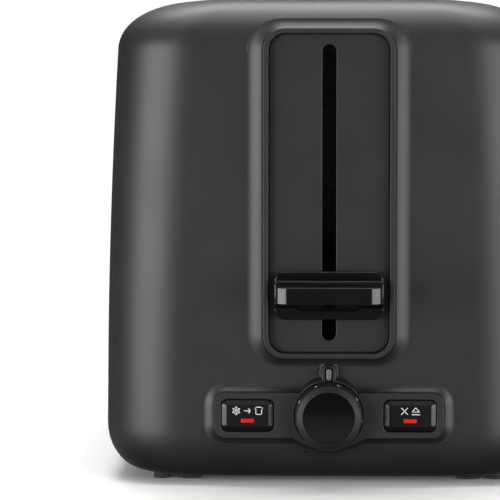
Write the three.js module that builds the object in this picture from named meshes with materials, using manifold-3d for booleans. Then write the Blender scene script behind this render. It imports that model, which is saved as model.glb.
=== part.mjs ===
// Pop-up toaster with two slices side by side, seen from its control end.
// Units are millimetres. +Z is up, the lever and controls face -Y, and +X is to the right of someone
// facing the controls. The origin is on the table under the middle of the whole toaster.
// The rest pose is the toasting one: lever latched down, bread guards closed.
import * as THREE from "three";
import { mergeVertices } from "three/addons/utils/BufferGeometryUtils.js";
import Module from "manifold-3d";

const wasm = await Module();
wasm.setup();

// ---------------------------------------------------------------- driving dimensions

// Whole toaster
const HEIGHT = 199.5;
const SHELL_LENGTH = 290;
const LEVER_REACH = 31; // the lever paddle stands out of the front face by this much
const REAR_REACH = 10; // and the cord gland out of the rear face by this much
const FRONT = (LEVER_REACH - REAR_REACH - SHELL_LENGTH) / 2;
const BACK = FRONT + SHELL_LENGTH;
const MIDDLE = (FRONT + BACK) / 2;
const GAP = 0.3; // between fixed neighbours
const WALL = 2.6; // moulded wall

// Housing: half widths and the heights where its sides turn into the top and bottom roundings
const SHELL_BOTTOM = 3;
const LOW_SHOULDER = 23;
const HIGH_SHOULDER = 178.5;
const HALF_WIDTH_LOW = 93.1;
const HALF_WIDTH_HIGH = 88.3;
const SIDE_BULGE = 1.1;
const PLAN_RADIUS = 32;
const BOTTOM_ROUND = { x: 16, y: 13 };
const TOP_ROUND = { x: 38, y: 20 };
const TOP_SQUARENESS = 2.2; // 2 would make the top rounding an ellipse

// Raised lever surround and the panel inside it
const SURROUND = { halfWidth: 27, low: 53.6, high: 188.7, radius: 9, proud: 4.6, flank: 5 };
const RIM_WIDTH = 2.2;
const PANEL_SETBACK = 3.4;
const PANEL_THICKNESS = 1.6;
const LEVER_SLOT = { halfWidth: 2.9, low: 60.8, high: 182 };

// Raised control boss: a bar, a round centre for the dial and a pointer tab above it
const CONTROL_Z = 30.1;
const CONTROL_BAR = { halfWidth: 47.2, halfHeight: 9.4, radius: 4.9, proud: 4, flank: 2.4 };
const DIAL_RADIUS = 13.9;
const DIAL_BOSS_RADIUS = 15.4;
const DIAL_HEIGHT = 9;
const POINTER_TAB = { halfWidth: 3.6, top: 51.4, proud: 3.4, flank: 1.4 };
const POINTER = { halfWidth: 1.15, low: 45, high: 49.6 };
const BUTTON = { centreX: 33.3, halfWidth: 11, halfHeight: 6.7, radius: 2.9, travel: 2 };
const LIGHT = { halfWidth: 3.1, halfHeight: 1.25, drop: 2 };

// Lever and carriage
const LEVER = { halfWidth: 22.4, low: 69.9, high: 90, radius: 4.5, plate: 3.2 };
const PADDLE = { low: 78.2, high: 85.3, cornerRadius: 5 };
const LEVER_TRAVEL = 88;

// Toasting chamber
const CHAMBER_START = FRONT + 62; // front chassis plate
const CHAMBER_END = FRONT + 228; // rear chassis plate
const SHEET = 1;
const SLICE_X = 32.5; // middle of each bread slot
const BREAD_SLOT = { halfWidth: 18, halfLength: 76, radius: 5 };
const CHASSIS = { halfWidth: 66, low: 24, high: 186 };
const RACK_Z = 68;
const GUARD = { hinge: 46, top: 178, atHinge: 14, atTop: 9, wire: 0.9 };
const CARD = { low: 40, high: 184, thickness: 0.8, innerX: 7.5, outerX: 57.5 };

// Crumb tray
const TRAY = { halfWidth: 57, low: 8.4, wall: 7, sheet: 0.8 };

// ---------------------------------------------------------------- building blocks

// three.js geometry to a manifold solid, and back.
function toSolid(geometry) {
  const bare = geometry.clone();
  bare.deleteAttribute("normal");
  bare.deleteAttribute("uv");
  const merged = mergeVertices(bare, 1e-4);
  return new wasm.Manifold(
    new wasm.Mesh({
      numProp: 3,
      vertProperties: merged.attributes.position.array,
      triVerts: new Uint32Array(merged.index.array),
    }),
  );
}

function toGeometry(solid) {
  const mesh = solid.getMesh();
  const geometry = new THREE.BufferGeometry();
  geometry.setAttribute("position", new THREE.BufferAttribute(mesh.vertProperties, 3));
  geometry.setIndex(new THREE.BufferAttribute(mesh.triVerts, 1));
  return geometry;
}

function join(...geometries) {
  return toGeometry(geometries.map(toSolid).reduce((whole, next) => whole.add(next)));
}

function cut(body, ...tools) {
  return toGeometry(tools.map(toSolid).reduce((rest, tool) => rest.subtract(tool), toSolid(body)));
}

function keep(body, form) {
  return toGeometry(toSolid(body).intersect(toSolid(form)));
}

// A box between two limits on each axis.
function block([x0, x1], [y0, y1], [z0, z1]) {
  const box = new THREE.BoxGeometry(x1 - x0, y1 - y0, z1 - z0);
  return box.translate((x0 + x1) / 2, (y0 + y1) / 2, (z0 + z1) / 2);
}

// A round bar between two points; a second radius makes it a cone.
function bar(radius, start, end, sides = 12, endRadius = radius) {
  const from = new THREE.Vector3(...start);
  const along = new THREE.Vector3(...end).sub(from);
  const length = along.length();
  const turn = new THREE.Quaternion().setFromUnitVectors(new THREE.Vector3(0, 1, 0), along.normalize());
  const cylinder = new THREE.CylinderGeometry(endRadius, radius, length, sides);
  return cylinder.translate(0, length / 2, 0).applyQuaternion(turn).translate(...start);
}

// Points of a rounded rectangle, counter-clockwise, the same number whatever its size.
function roundedOutline(halfX, halfY, radius, steps = 4) {
  const corners = [
    [halfX - radius, halfY - radius, 0],
    [radius - halfX, halfY - radius, 90],
    [radius - halfX, radius - halfY, 180],
    [halfX - radius, radius - halfY, 270],
  ];
  return corners.flatMap(([cx, cy, start]) =>
    Array.from({ length: steps + 1 }, (_, step) => {
      const angle = THREE.MathUtils.degToRad(start + (90 * step) / steps);
      return [cx + radius * Math.cos(angle), cy + radius * Math.sin(angle)];
    }),
  );
}

// A closed skin through rings of points that all have the same number of points, lowest ring first.
function loft(rings) {
  const count = rings[0].length;
  const positions = rings.flat(2);
  const faces = [];
  for (let ring = 0; ring < rings.length - 1; ring++) {
    for (let i = 0; i < count; i++) {
      const a = ring * count + i;
      const b = ring * count + ((i + 1) % count);
      faces.push(a, b, b + count, a, b + count, a + count);
    }
  }
  const top = (rings.length - 1) * count;
  for (let i = 1; i < count - 1; i++) {
    faces.push(0, i + 1, i, top, top + i, top + i + 1);
  }
  const geometry = new THREE.BufferGeometry();
  geometry.setAttribute("position", new THREE.Float32BufferAttribute(positions, 3));
  geometry.setIndex(faces);
  return geometry;
}

// An outline drawn as seen from the front, made solid between two depths. Depth counts outwards from
// the front face, so a negative depth is inside the housing.
function frontPrism(points, inner, outer) {
  const rings = [inner, outer].map((depth) => points.map(([x, z]) => [x, z, depth]));
  return turnToFront(loft(rings));
}

function turnToFront(geometry) {
  return geometry.rotateX(Math.PI / 2).translate(0, FRONT, 0);
}

// The same kind of outline with a chamfered outer edge.
function frontChamfered(halfX, halfZ, radius, centre, [inner, outer], chamfer, steps = 5) {
  const ring = (shrink, depth) =>
    roundedOutline(halfX - shrink, halfZ - shrink, radius - shrink, steps).map(([x, z]) => [
      x + centre[0],
      z + centre[1],
      depth,
    ]);
  return turnToFront(loft([ring(0, inner), ring(0, outer - chamfer), ring(chamfer, outer)]));
}

// A moulded boss on the front face with a concave flank that runs out into the face.
function flankedBoss(halfX, halfZ, radius, centre, proud, flank, inner = -WALL / 2) {
  const levels = [
    [flank, inner],
    [flank, 0],
    [flank * 0.45, proud * 0.25],
    [flank * 0.12, proud * 0.65],
    [0, proud],
  ];
  const rings = levels.map(([grow, depth]) =>
    roundedOutline(halfX + grow, halfZ + grow, radius + grow).map(([x, z]) => [
      x + centre[0],
      z + centre[1],
      depth,
    ]),
  );
  return turnToFront(loft(rings));
}

function shifted(points, dx, dy) {
  return points.map(([x, y]) => [x + dx, y + dy]);
}

// A flat plate lying level, with the same outline top and bottom.
function levelPlate(points, low, high) {
  return loft([low, high].map((z) => points.map(([x, y]) => [x, y, z])));
}

const MATERIALS = {
  blackPlastic: { color: 0x222222, roughness: 0.6, metalness: 0 },
  panelPlastic: { color: 0x1c1c1c, roughness: 0.5, metalness: 0 },
  glossPlastic: { color: 0x0a0a0a, roughness: 0.15, metalness: 0 },
  redWindow: { color: 0xd8201c, roughness: 0.3, metalness: 0 },
  greyInk: { color: 0x9a9a9a, roughness: 0.5, metalness: 0 },
  rubber: { color: 0x161616, roughness: 0.9, metalness: 0 },
  plate: { color: 0xb9bcc0, roughness: 0.4, metalness: 0.9 },
  wire: { color: 0xd0d2d4, roughness: 0.25, metalness: 1 },
  mica: { color: 0xb59a6a, roughness: 0.5, metalness: 0 },
  ribbon: { color: 0x7d7468, roughness: 0.5, metalness: 0.8 },
  screw: { color: 0x3a3a3c, roughness: 0.4, metalness: 0.9 },
  board: { color: 0x2f5b35, roughness: 0.6, metalness: 0 },
  copper: { color: 0xb06a3a, roughness: 0.35, metalness: 0.9 },
  brass: { color: 0xc2a14e, roughness: 0.35, metalness: 1 },
};

const toaster = new THREE.Group();
toaster.name = "pop_up_toaster";

function add(name, geometry, material) {
  const mesh = new THREE.Mesh(geometry, new THREE.MeshStandardMaterial(MATERIALS[material]));
  mesh.name = name;
  toaster.add(mesh);
}

// Runs a builder for the left (-1) and the right (+1) side.
function bothSides(build) {
  build("left", -1);
  build("right", 1);
}

// ---------------------------------------------------------------- housing

// Half width and half length of the housing's outside at one height, with the plan radius there.
function shellRing(halfX, halfY, radius, z) {
  return roundedOutline(halfX, halfY, radius, 7).map(([x, y]) => [x, y + MIDDLE, z]);
}

function sideHalfWidth(share) {
  const straight = THREE.MathUtils.lerp(HALF_WIDTH_LOW, HALF_WIDTH_HIGH, share);
  return straight + SIDE_BULGE * 4 * share * (1 - share);
}

// The housing's form, shrunk by a wall thickness for its inside. The inside runs out through the bottom.
function shellForm(shrink) {
  const halfLength = SHELL_LENGTH / 2;
  const rings = [];
  const addRing = (halfX, insetY, z) =>
    rings.push(shellRing(halfX, halfLength - insetY, PLAN_RADIUS - 0.7 * insetY, z));
  if (shrink > 0) {
    addRing(HALF_WIDTH_LOW - BOTTOM_ROUND.x, BOTTOM_ROUND.y, SHELL_BOTTOM - 1);
  }
  const bottomSteps = 4;
  for (let step = 0; step <= bottomSteps; step++) {
    const angle = (step / bottomSteps) * (Math.PI / 2);
    const outX = (BOTTOM_ROUND.x - shrink) * Math.sin(angle);
    const outY = (BOTTOM_ROUND.y - shrink) * Math.sin(angle);
    const drop = (LOW_SHOULDER - SHELL_BOTTOM - shrink) * Math.cos(angle);
    addRing(HALF_WIDTH_LOW - BOTTOM_ROUND.x + outX, BOTTOM_ROUND.y - outY, LOW_SHOULDER - drop);
  }
  for (const share of [0.25, 0.5, 0.75]) {
    const z = THREE.MathUtils.lerp(LOW_SHOULDER, HIGH_SHOULDER, share);
    addRing(sideHalfWidth(share) - shrink, shrink, z);
  }
  const topSteps = 6;
  const power = 2 / TOP_SQUARENESS;
  for (let step = 0; step <= topSteps; step++) {
    const angle = (step / topSteps) * (Math.PI / 2);
    const outX = (TOP_ROUND.x - shrink) * Math.cos(angle) ** power;
    const outY = (TOP_ROUND.y - shrink) * Math.cos(angle) ** power;
    const rise = (HEIGHT - HIGH_SHOULDER - shrink) * Math.sin(angle) ** power;
    addRing(HALF_WIDTH_HIGH - TOP_ROUND.x + outX, TOP_ROUND.y - outY, HIGH_SHOULDER + rise);
  }
  return loft(rings);
}

const surroundMiddle = (SURROUND.low + SURROUND.high) / 2;
const surroundHalfHeight = (SURROUND.high - SURROUND.low) / 2;
const panelHalfWidth = SURROUND.halfWidth - RIM_WIDTH;
const panelHalfHeight = surroundHalfHeight - RIM_WIDTH;
const panelRadius = SURROUND.radius - RIM_WIDTH;
const panelFace = SURROUND.proud - PANEL_SETBACK; // depth of the panel's face
const panelBack = panelFace - PANEL_THICKNESS;
const panelLedge = 4; // the housing carries the panel on a ledge this wide
const dialSeatDepth = CONTROL_BAR.proud - 3; // bottom of the dial's round recess

function leverSurround() {
  const { halfWidth, radius, proud, flank } = SURROUND;
  return flankedBoss(halfWidth, surroundHalfHeight, radius, [0, surroundMiddle], proud, flank);
}

// The recess for the panel, and the smaller opening through the wall behind it.
function panelOpenings() {
  const at = [0, surroundMiddle];
  const recess = roundedOutline(panelHalfWidth, panelHalfHeight, panelRadius);
  const through = roundedOutline(panelHalfWidth - panelLedge, panelHalfHeight - panelLedge, 4);
  return [
    frontPrism(shifted(recess, ...at), panelBack - GAP, SURROUND.proud + 1),
    frontPrism(shifted(through, ...at), -2 * WALL, SURROUND.proud),
  ];
}

function controlBosses() {
  const { halfWidth, halfHeight, radius, proud, flank } = CONTROL_BAR;
  const tabMiddle = (POINTER_TAB.top + CONTROL_Z) / 2;
  const tabHalf = (POINTER_TAB.top - CONTROL_Z) / 2;
  return [
    flankedBoss(halfWidth, halfHeight, radius, [0, CONTROL_Z], proud, flank),
    flankedBoss(DIAL_BOSS_RADIUS, DIAL_BOSS_RADIUS, DIAL_BOSS_RADIUS, [0, CONTROL_Z], proud, flank),
    flankedBoss(
      POINTER_TAB.halfWidth,
      tabHalf,
      POINTER_TAB.halfWidth * 0.7,
      [0, tabMiddle],
      POINTER_TAB.proud,
      POINTER_TAB.flank,
    ),
  ];
}

// The hollow behind the control bar and the button holes.
function controlOpenings() {
  const { halfWidth, halfHeight, proud } = CONTROL_BAR;
  const hollow = roundedOutline(halfWidth - WALL, halfHeight - WALL, 2.5);
  const button = roundedOutline(BUTTON.halfWidth, BUTTON.halfHeight, BUTTON.radius);
  return [
    frontPrism(shifted(hollow, 0, CONTROL_Z), -2 * WALL, proud - WALL),
    frontPrism(shifted(button, -BUTTON.centreX, CONTROL_Z), -1, proud + 1),
    frontPrism(shifted(button, BUTTON.centreX, CONTROL_Z), -1, proud + 1),
  ];
}

function pointerOutline(shrink) {
  const half = (POINTER.high - POINTER.low) / 2 - shrink;
  const outline = roundedOutline(POINTER.halfWidth - shrink, half, POINTER.halfWidth - shrink - 0.01, 4);
  return shifted(outline, 0, (POINTER.low + POINTER.high) / 2);
}

// The dial sits in a round cup that hangs inside the control boss, open to the front.
function dialCup() {
  const [outer, inner] = [DIAL_BOSS_RADIUS, DIAL_RADIUS + GAP];
  const floor = dialSeatDepth - 2;
  const at = (depth) => [0, FRONT - depth, CONTROL_Z];
  const wall = bar(outer, at(floor), at(CONTROL_BAR.proud - 0.1), 24);
  return { wall, recess: bar(inner, at(dialSeatDepth), at(CONTROL_BAR.proud + 2), 24) };
}

const shaftRadius = 3;
const boardFront = FRONT + 24;
const postRadius = 3.5;
const boardPosts = [
  [-47, 16],
  [47, 16],
  [-47, 50],
  [47, 50],
];

// Posts for the circuit board, moulded with the housing's front wall.
function boardPost([x, z]) {
  return bar(postRadius, [x, FRONT + 1, z], [x, boardFront - GAP, z]);
}

// Base screws go up through the base plate into ribs that reach in from the housing's walls.
const rib = { half: 5, reach: 22, low: 8, high: 22 };
const screw = { head: 3.6, headHeight: 1.6, shank: 1.5, tip: 17, plateHole: 2.3, ribHole: 1.9 };
const baseScrews = [
  { name: "front_left", x: -70, y: FRONT + 54, wallAt: [-1, 0] },
  { name: "front_right", x: 70, y: FRONT + 54, wallAt: [1, 0] },
  { name: "rear_left", x: -66, y: BACK - 26, wallAt: [0, 1] },
  { name: "rear_right", x: 66, y: BACK - 26, wallAt: [0, 1] },
];

// The rib of one screw: a block round the screw that runs to the wall on the side given.
function screwRib({ x, y, wallAt }) {
  const span = (middle, towards) => [
    middle - (towards < 0 ? rib.reach : rib.half),
    middle + (towards > 0 ? rib.reach : rib.half),
  ];
  return block(span(x, wallAt[0]), span(y, wallAt[1]), [rib.low, rib.high]);
}

function insideFeatures() {
  const features = [...boardPosts.map(boardPost), ...baseScrews.map(screwRib)];
  return features.map((feature) => keep(feature, shellForm(WALL / 2)));
}

const topOpening = {
  halfWidth: 58,
  halfLength: (CHAMBER_END - CHAMBER_START) / 2 + 3,
  radius: 12,
  middle: (CHAMBER_START + CHAMBER_END) / 2,
};
const slotPlateThickness = 1;
const slotPlateSetback = 0.5;
const mouthLiner = { thickness: 0.8, depth: 8 }; // rolled down round each bread slot

function topOpenings() {
  const { halfWidth, halfLength, radius, middle } = topOpening;
  const seat = roundedOutline(halfWidth, halfLength, radius);
  const through = roundedOutline(halfWidth - 3, halfLength - 3, radius - 3);
  const seatLow = HEIGHT - slotPlateSetback - slotPlateThickness - GAP;
  return [
    levelPlate(shifted(seat, 0, middle), seatLow, HEIGHT + 1),
    levelPlate(shifted(through, 0, middle), HEIGHT - 2 * WALL, HEIGHT),
  ];
}

const trayOpening = { halfWidth: TRAY.halfWidth + 3, low: TRAY.low - 1.2, high: TRAY.low + 12.4 };
const gland = { x: 46, z: 36, neck: 7, collar: 10 };

function rearOpenings() {
  const { halfWidth, low, high } = trayOpening;
  return [
    block([-halfWidth, halfWidth], [BACK - 20, BACK + 5], [low, high]),
    bar(gland.neck + GAP, [gland.x, BACK - 10, gland.z], [gland.x, BACK + 5, gland.z], 24),
  ];
}

function housing() {
  const screwHoles = baseScrews.map(({ x, y }) => bar(screw.ribHole, [x, y, 2], [x, y, screw.tip + 2], 10));
  const cup = dialCup();
  const shaftHole = bar(
    shaftRadius + 0.7,
    [0, FRONT + 2 * WALL, CONTROL_Z],
    [0, FRONT - CONTROL_BAR.proud, CONTROL_Z],
    16,
  );
  const skin = cut(join(shellForm(0), leverSurround(), ...controlBosses()), shellForm(WALL));
  const opened = cut(skin, ...panelOpenings(), ...controlOpenings(), ...topOpenings(), ...rearOpenings());
  const fitted = join(opened, cup.wall, ...insideFeatures());
  const pointerPocket = frontPrism(pointerOutline(0), POINTER_TAB.proud - 1.5, POINTER_TAB.proud + 1);
  return cut(fitted, cup.recess, shaftHole, pointerPocket, ...screwHoles);
}

add("housing", housing(), "blackPlastic");

// ---------------------------------------------------------------- top slot plate

const breadSlotOutline = (grow) =>
  roundedOutline(BREAD_SLOT.halfWidth + grow, BREAD_SLOT.halfLength + grow, BREAD_SLOT.radius + grow, 4);

function slotPlate() {
  const { halfWidth, halfLength, radius, middle } = topOpening;
  const top = HEIGHT - slotPlateSetback;
  const outline = roundedOutline(halfWidth - GAP, halfLength - GAP, radius - GAP);
  const plate = levelPlate(shifted(outline, 0, middle), top - slotPlateThickness, top);
  const liners = [-SLICE_X, SLICE_X].map((x) =>
    levelPlate(shifted(breadSlotOutline(mouthLiner.thickness), x, middle), top - mouthLiner.depth, top - 0.2),
  );
  const mouths = [-SLICE_X, SLICE_X].map((x) =>
    levelPlate(shifted(breadSlotOutline(0), x, middle), top - mouthLiner.depth - 2, top + 1),
  );
  return cut(join(plate, ...liners), ...mouths);
}

add("slot_plate", slotPlate(), "plate");

// ---------------------------------------------------------------- front trim: lever panel and pointer

function leverPanel() {
  const at = [0, surroundMiddle];
  const outline = roundedOutline(panelHalfWidth - GAP, panelHalfHeight - GAP, panelRadius - GAP);
  const slotHalf = (LEVER_SLOT.high - LEVER_SLOT.low) / 2;
  const slot = roundedOutline(LEVER_SLOT.halfWidth, slotHalf, LEVER_SLOT.halfWidth - 0.01, 4);
  const slotAt = [0, (LEVER_SLOT.high + LEVER_SLOT.low) / 2];
  return cut(
    frontPrism(shifted(outline, ...at), panelBack, panelFace),
    frontPrism(shifted(slot, ...slotAt), panelBack - 1, panelFace + 1),
  );
}

add("lever_panel", leverPanel(), "panelPlastic");
add(
  "scale_pointer",
  frontPrism(pointerOutline(0.2), POINTER_TAB.proud - 1.2, POINTER_TAB.proud + 0.2),
  "greyInk",
);

// ---------------------------------------------------------------- base plate, feet and screws

const basePlateLow = SHELL_BOTTOM + 0.2;
const basePlateHigh = basePlateLow + 2.2;
const baseHalfLength = SHELL_LENGTH / 2 - BOTTOM_ROUND.y - 0.4;
const vent = { rows: 6, first: FRONT + 80, pitch: 26, x: 30, halfLength: 26, halfWidth: 2.5 };

function basePlate() {
  const halfWidth = HALF_WIDTH_LOW - BOTTOM_ROUND.x - 0.4;
  const outline = roundedOutline(halfWidth, baseHalfLength, PLAN_RADIUS - 0.7 * BOTTOM_ROUND.y);
  const plate = levelPlate(shifted(outline, 0, MIDDLE), basePlateLow, basePlateHigh);
  const railX = TRAY.halfWidth + 1.2;
  const rails = [-1, 1].map((side) => {
    const x = [side * railX, side * (railX + 1.6)].sort((a, b) => a - b);
    return block(x, [CHAMBER_START, BACK - 32], [basePlateHigh - 1, TRAY.low + 4]);
  });
  const vents = [];
  const slit = roundedOutline(vent.halfLength, vent.halfWidth, vent.halfWidth - 0.01, 2);
  for (let row = 0; row < vent.rows; row++) {
    for (const x of [-vent.x, vent.x]) {
      const at = shifted(slit, x, vent.first + row * vent.pitch);
      vents.push(levelPlate(at, basePlateLow - 1, basePlateHigh + 1));
    }
  }
  const screwHoles = baseScrews.map(({ x, y }) => bar(screw.plateHole, [x, y, 2], [x, y, 10], 12));
  return cut(join(plate, ...rails), ...vents, ...screwHoles);
}

add("base_plate", basePlate(), "blackPlastic");

// Each foot is one piece with a narrow outer pad and a wide inner pad, joined by a thin bridge.
const foot = { outerPad: [66.2, 73.4], innerPad: [53.2, 63.6], halfLength: 9, bridge: 0.9 };

function footPiece(side, y) {
  const top = basePlateLow - 0.05;
  const pad = ([x0, x1]) => {
    const outline = roundedOutline((x1 - x0) / 2, foot.halfLength, 2.5, 4);
    return levelPlate(shifted(outline, (side * (x0 + x1)) / 2, y), 0, top);
  };
  const [bridgeX0, bridgeX1] = [foot.innerPad[0] + 3, foot.outerPad[1] - 3];
  const bridge = block(
    [side * bridgeX0, side * bridgeX1].sort((a, b) => a - b),
    [y - foot.halfLength + 1, y + foot.halfLength - 1],
    [top - foot.bridge, top],
  );
  return join(pad(foot.outerPad), pad(foot.innerPad), bridge);
}

for (const [end, y] of [
  ["front", FRONT + 31],
  ["rear", BACK - 45],
]) {
  bothSides((sideName, side) => add(`foot_${end}_${sideName}`, footPiece(side, y), "rubber"));
}

function baseScrew({ x, y }) {
  const headTop = basePlateLow - 0.05;
  const head = bar(screw.head, [x, y, basePlateLow - screw.headHeight], [x, y, headTop], 12);
  const shank = bar(screw.shank, [x, y, basePlateLow - 0.5], [x, y, screw.tip], 8);
  return join(head, shank);
}

baseScrews.forEach((place) => add(`base_screw_${place.name}`, baseScrew(place), "screw"));

// ---------------------------------------------------------------- chassis and heat shields

const legWidth = 5; // of the end plates' legs, which clear the crumb tray
const rackSlot = { halfWidth: 4, low: RACK_Z - 8, high: RACK_Z + LEVER_TRAVEL + 10 };
const hingeHoleRadius = 1.7;

// The four bread guards: which slice each one holds, and on which side of it.
const guards = [
  { name: "left_outer", slice: -1, side: -1 },
  { name: "left_inner", slice: -1, side: 1 },
  { name: "right_inner", slice: 1, side: -1 },
  { name: "right_outer", slice: 1, side: 1 },
];
const guardX = ({ slice, side }, offset) => slice * SLICE_X + side * offset;

// An upright end plate of the chamber, standing on two legs that clear the crumb tray.
function endPlate(y0, features, extraCuts) {
  const y = [y0, y0 + SHEET];
  const through = [y0 - 2, y0 + SHEET + 2];
  const { halfWidth, low, high } = CHASSIS;
  const plate = block([-halfWidth, halfWidth], y, [basePlateHigh + GAP, high]);
  const trayGap = block([legWidth - halfWidth, halfWidth - legWidth], through, [0, low]);
  const rackSlots = [-SLICE_X, SLICE_X].map((x) =>
    block([x - rackSlot.halfWidth, x + rackSlot.halfWidth], through, [rackSlot.low, rackSlot.high]),
  );
  const hingeHoles = guards.map((guard) => {
    const x = guardX(guard, GUARD.atHinge);
    return bar(hingeHoleRadius, [x, through[0], GUARD.hinge], [x, through[1], GUARD.hinge], 12);
  });
  return cut(join(plate, ...features), trayGap, ...rackSlots, ...hingeHoles, ...extraCuts);
}

const guideRod = { x: 16, y: FRONT + 42, radius: 2.5, low: 30, high: 184 };
const spring = { x: -16, y: FRONT + 37.5, radius: 3.4, wire: 0.6, turns: 13, low: 64, high: 181 };

const shelf = { halfWidth: 24, sheet: 1.4, lowerHalfWidth: 6 };
const topShelfZ = guideRod.high - 2;

// Shelves bent forwards from the front plate hold the guide rod at both ends and the spring's top.
function frontPlateShelves() {
  const back = CHAMBER_START + SHEET;
  const { halfWidth, sheet, lowerHalfWidth } = shelf;
  const top = block([-halfWidth, halfWidth], [spring.y - 4.5, back], [topShelfZ, topShelfZ + sheet]);
  const lower = block(
    [guideRod.x - lowerHalfWidth, guideRod.x + lowerHalfWidth],
    [guideRod.y - 5, back],
    [guideRod.low, guideRod.low + sheet],
  );
  return [top, lower];
}

const rodHoles = [guideRod.low, topShelfZ].map((z) =>
  bar(guideRod.radius + GAP, [guideRod.x, guideRod.y, z - 2], [guideRod.x, guideRod.y, z + 4], 12),
);

add("front_chassis_plate", endPlate(CHAMBER_START, frontPlateShelves(), rodHoles), "plate");
add("rear_chassis_plate", endPlate(CHAMBER_END, [], []), "plate");

bothSides((sideName, side) => {
  const x = [side * (CHASSIS.halfWidth - 1.4), side * (CHASSIS.halfWidth - 0.6)].sort((a, b) => a - b);
  const y = [CHAMBER_START + SHEET + GAP, CHAMBER_END - GAP];
  add(`${sideName}_heat_shield`, block(x, y, [CHASSIS.low, CHASSIS.high]), "plate");
});

// ---------------------------------------------------------------- heater cards and windings

const cards = [
  { name: "left_outer", x: -CARD.outerX, heatedSide: 1 },
  { name: "left_inner", x: -CARD.innerX, heatedSide: -1 },
  { name: "right_inner", x: CARD.innerX, heatedSide: 1 },
  { name: "right_outer", x: CARD.outerX, heatedSide: -1 },
];
const cardStart = CHAMBER_START + SHEET + GAP;
const cardEnd = CHAMBER_END - GAP;

function heaterCard({ x }) {
  const half = CARD.thickness / 2;
  return block([x - half, x + half], [cardStart, cardEnd], [CARD.low, CARD.high]);
}

// A flat ribbon that runs to and fro across the card, top to bottom, as one length.
function heaterWinding({ x, heatedSide }) {
  const rows = 9;
  const width = 1.6;
  const thickness = 0.35;
  const [y0, y1] = [cardStart + 8, cardEnd - 8];
  const [low, high] = [CARD.low + 10, CARD.high - 10];
  const pitch = (high - low) / (rows - 1);
  const face = x + heatedSide * (CARD.thickness / 2 + GAP);
  const across = [face, face + heatedSide * thickness].sort((a, b) => a - b);
  const lengths = [];
  for (let row = 0; row < rows; row++) {
    const z = low + row * pitch;
    lengths.push(block(across, [y0, y1], [z, z + width]));
    if (row < rows - 1) {
      const end = row % 2 ? [y0, y0 + width] : [y1 - width, y1];
      lengths.push(block(across, end, [z, z + pitch + width]));
    }
  }
  return join(...lengths);
}

cards.forEach((card) => {
  add(`${card.name}_heater_card`, heaterCard(card), "mica");
  add(`${card.name}_heater_winding`, heaterWinding(card), "ribbon");
});

// ---------------------------------------------------------------- bread guards

// A wire grid hinged at its bottom rail and leaning in over the bread while the lever is down.
function breadGuard(guard) {
  const hingeX = guardX(guard, GUARD.atHinge);
  const topX = guardX(guard, GUARD.atTop);
  const [y0, y1] = [CHAMBER_START + SHEET + 3, CHAMBER_END - 3];
  const railEnds = [CHAMBER_START - 2, CHAMBER_END + SHEET + 2];
  const hingeRail = bar(1.2, [hingeX, railEnds[0], GUARD.hinge], [hingeX, railEnds[1], GUARD.hinge], 8);
  const topRail = bar(GUARD.wire, [topX, y0, GUARD.top], [topX, y1, GUARD.top], 6);
  const uprights = [];
  const count = 8;
  for (let i = 0; i < count; i++) {
    const y = THREE.MathUtils.lerp(y0 + 2, y1 - 2, i / (count - 1));
    uprights.push(bar(GUARD.wire, [hingeX, y, GUARD.hinge], [topX, y, GUARD.top], 5));
  }
  return join(hingeRail, topRail, ...uprights);
}

guards.forEach((guard) => add(`${guard.name}_bread_guard`, breadGuard(guard), "wire"));

// ---------------------------------------------------------------- lever and carriage

const carriageY = FRONT + 46;
const carriagePlate = { halfWidth: 40, low: 66, high: 92, sheet: 1.5, depth: 8 };
const carriageJoiners = [-30, 0, 30]; // where its front and back plates are joined
const rodClearance = 6; // half width of the notch that the guide rod passes through
const springTab = { halfWidth: 5, low: spring.low - 1.8, sheet: 1.2 };
const bush = { radius: 5, clearance: 0.08 };
const tongue = { halfWidth: 1.6, low: 79.6, high: 84, tip: FRONT - 16 };

function leverHandle() {
  const plateMiddle = (LEVER.low + LEVER.high) / 2;
  const plateHalf = (LEVER.high - LEVER.low) / 2;
  const plateInner = panelFace + 0.5;
  const plateOuter = plateInner + LEVER.plate;
  const plate = frontChamfered(
    LEVER.halfWidth,
    plateHalf,
    LEVER.radius,
    [0, plateMiddle],
    [plateInner, plateOuter],
    0.9,
  );
  const pocket = block(
    [-tongue.halfWidth - GAP, tongue.halfWidth + GAP],
    [tongue.tip - GAP, FRONT],
    [tongue.low - GAP, tongue.high + GAP],
  );
  return cut(join(plate, paddle(plateOuter), leverWeb(plateOuter)), pocket);
}

// The paddle that is pressed: a flat tongue with rounded front corners and softened edges.
function paddle(plateOuter) {
  const half = LEVER.halfWidth - 0.2;
  const [back, tip] = [FRONT - plateOuter + 1, FRONT - LEVER_REACH];
  const r = PADDLE.cornerRadius;
  const steps = 5;
  const edge = 1.1;
  const outline = (shrink) => {
    const points = [
      [half - shrink, back],
      [shrink - half, back],
    ];
    for (let step = 0; step <= steps; step++) {
      const angle = Math.PI + (step / steps) * (Math.PI / 2);
      points.push([r - half + (r - shrink) * Math.cos(angle), tip + r + (r - shrink) * Math.sin(angle)]);
    }
    for (let step = 0; step <= steps; step++) {
      const angle = 1.5 * Math.PI + (step / steps) * (Math.PI / 2);
      points.push([half - r + (r - shrink) * Math.cos(angle), tip + r + (r - shrink) * Math.sin(angle)]);
    }
    return points;
  };
  const ring = (shrink, z) => outline(shrink).map(([x, y]) => [x, y, z]);
  return loft([
    ring(edge, PADDLE.low),
    ring(0, PADDLE.low + edge),
    ring(0, PADDLE.high - edge),
    ring(edge, PADDLE.high),
  ]);
}

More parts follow.
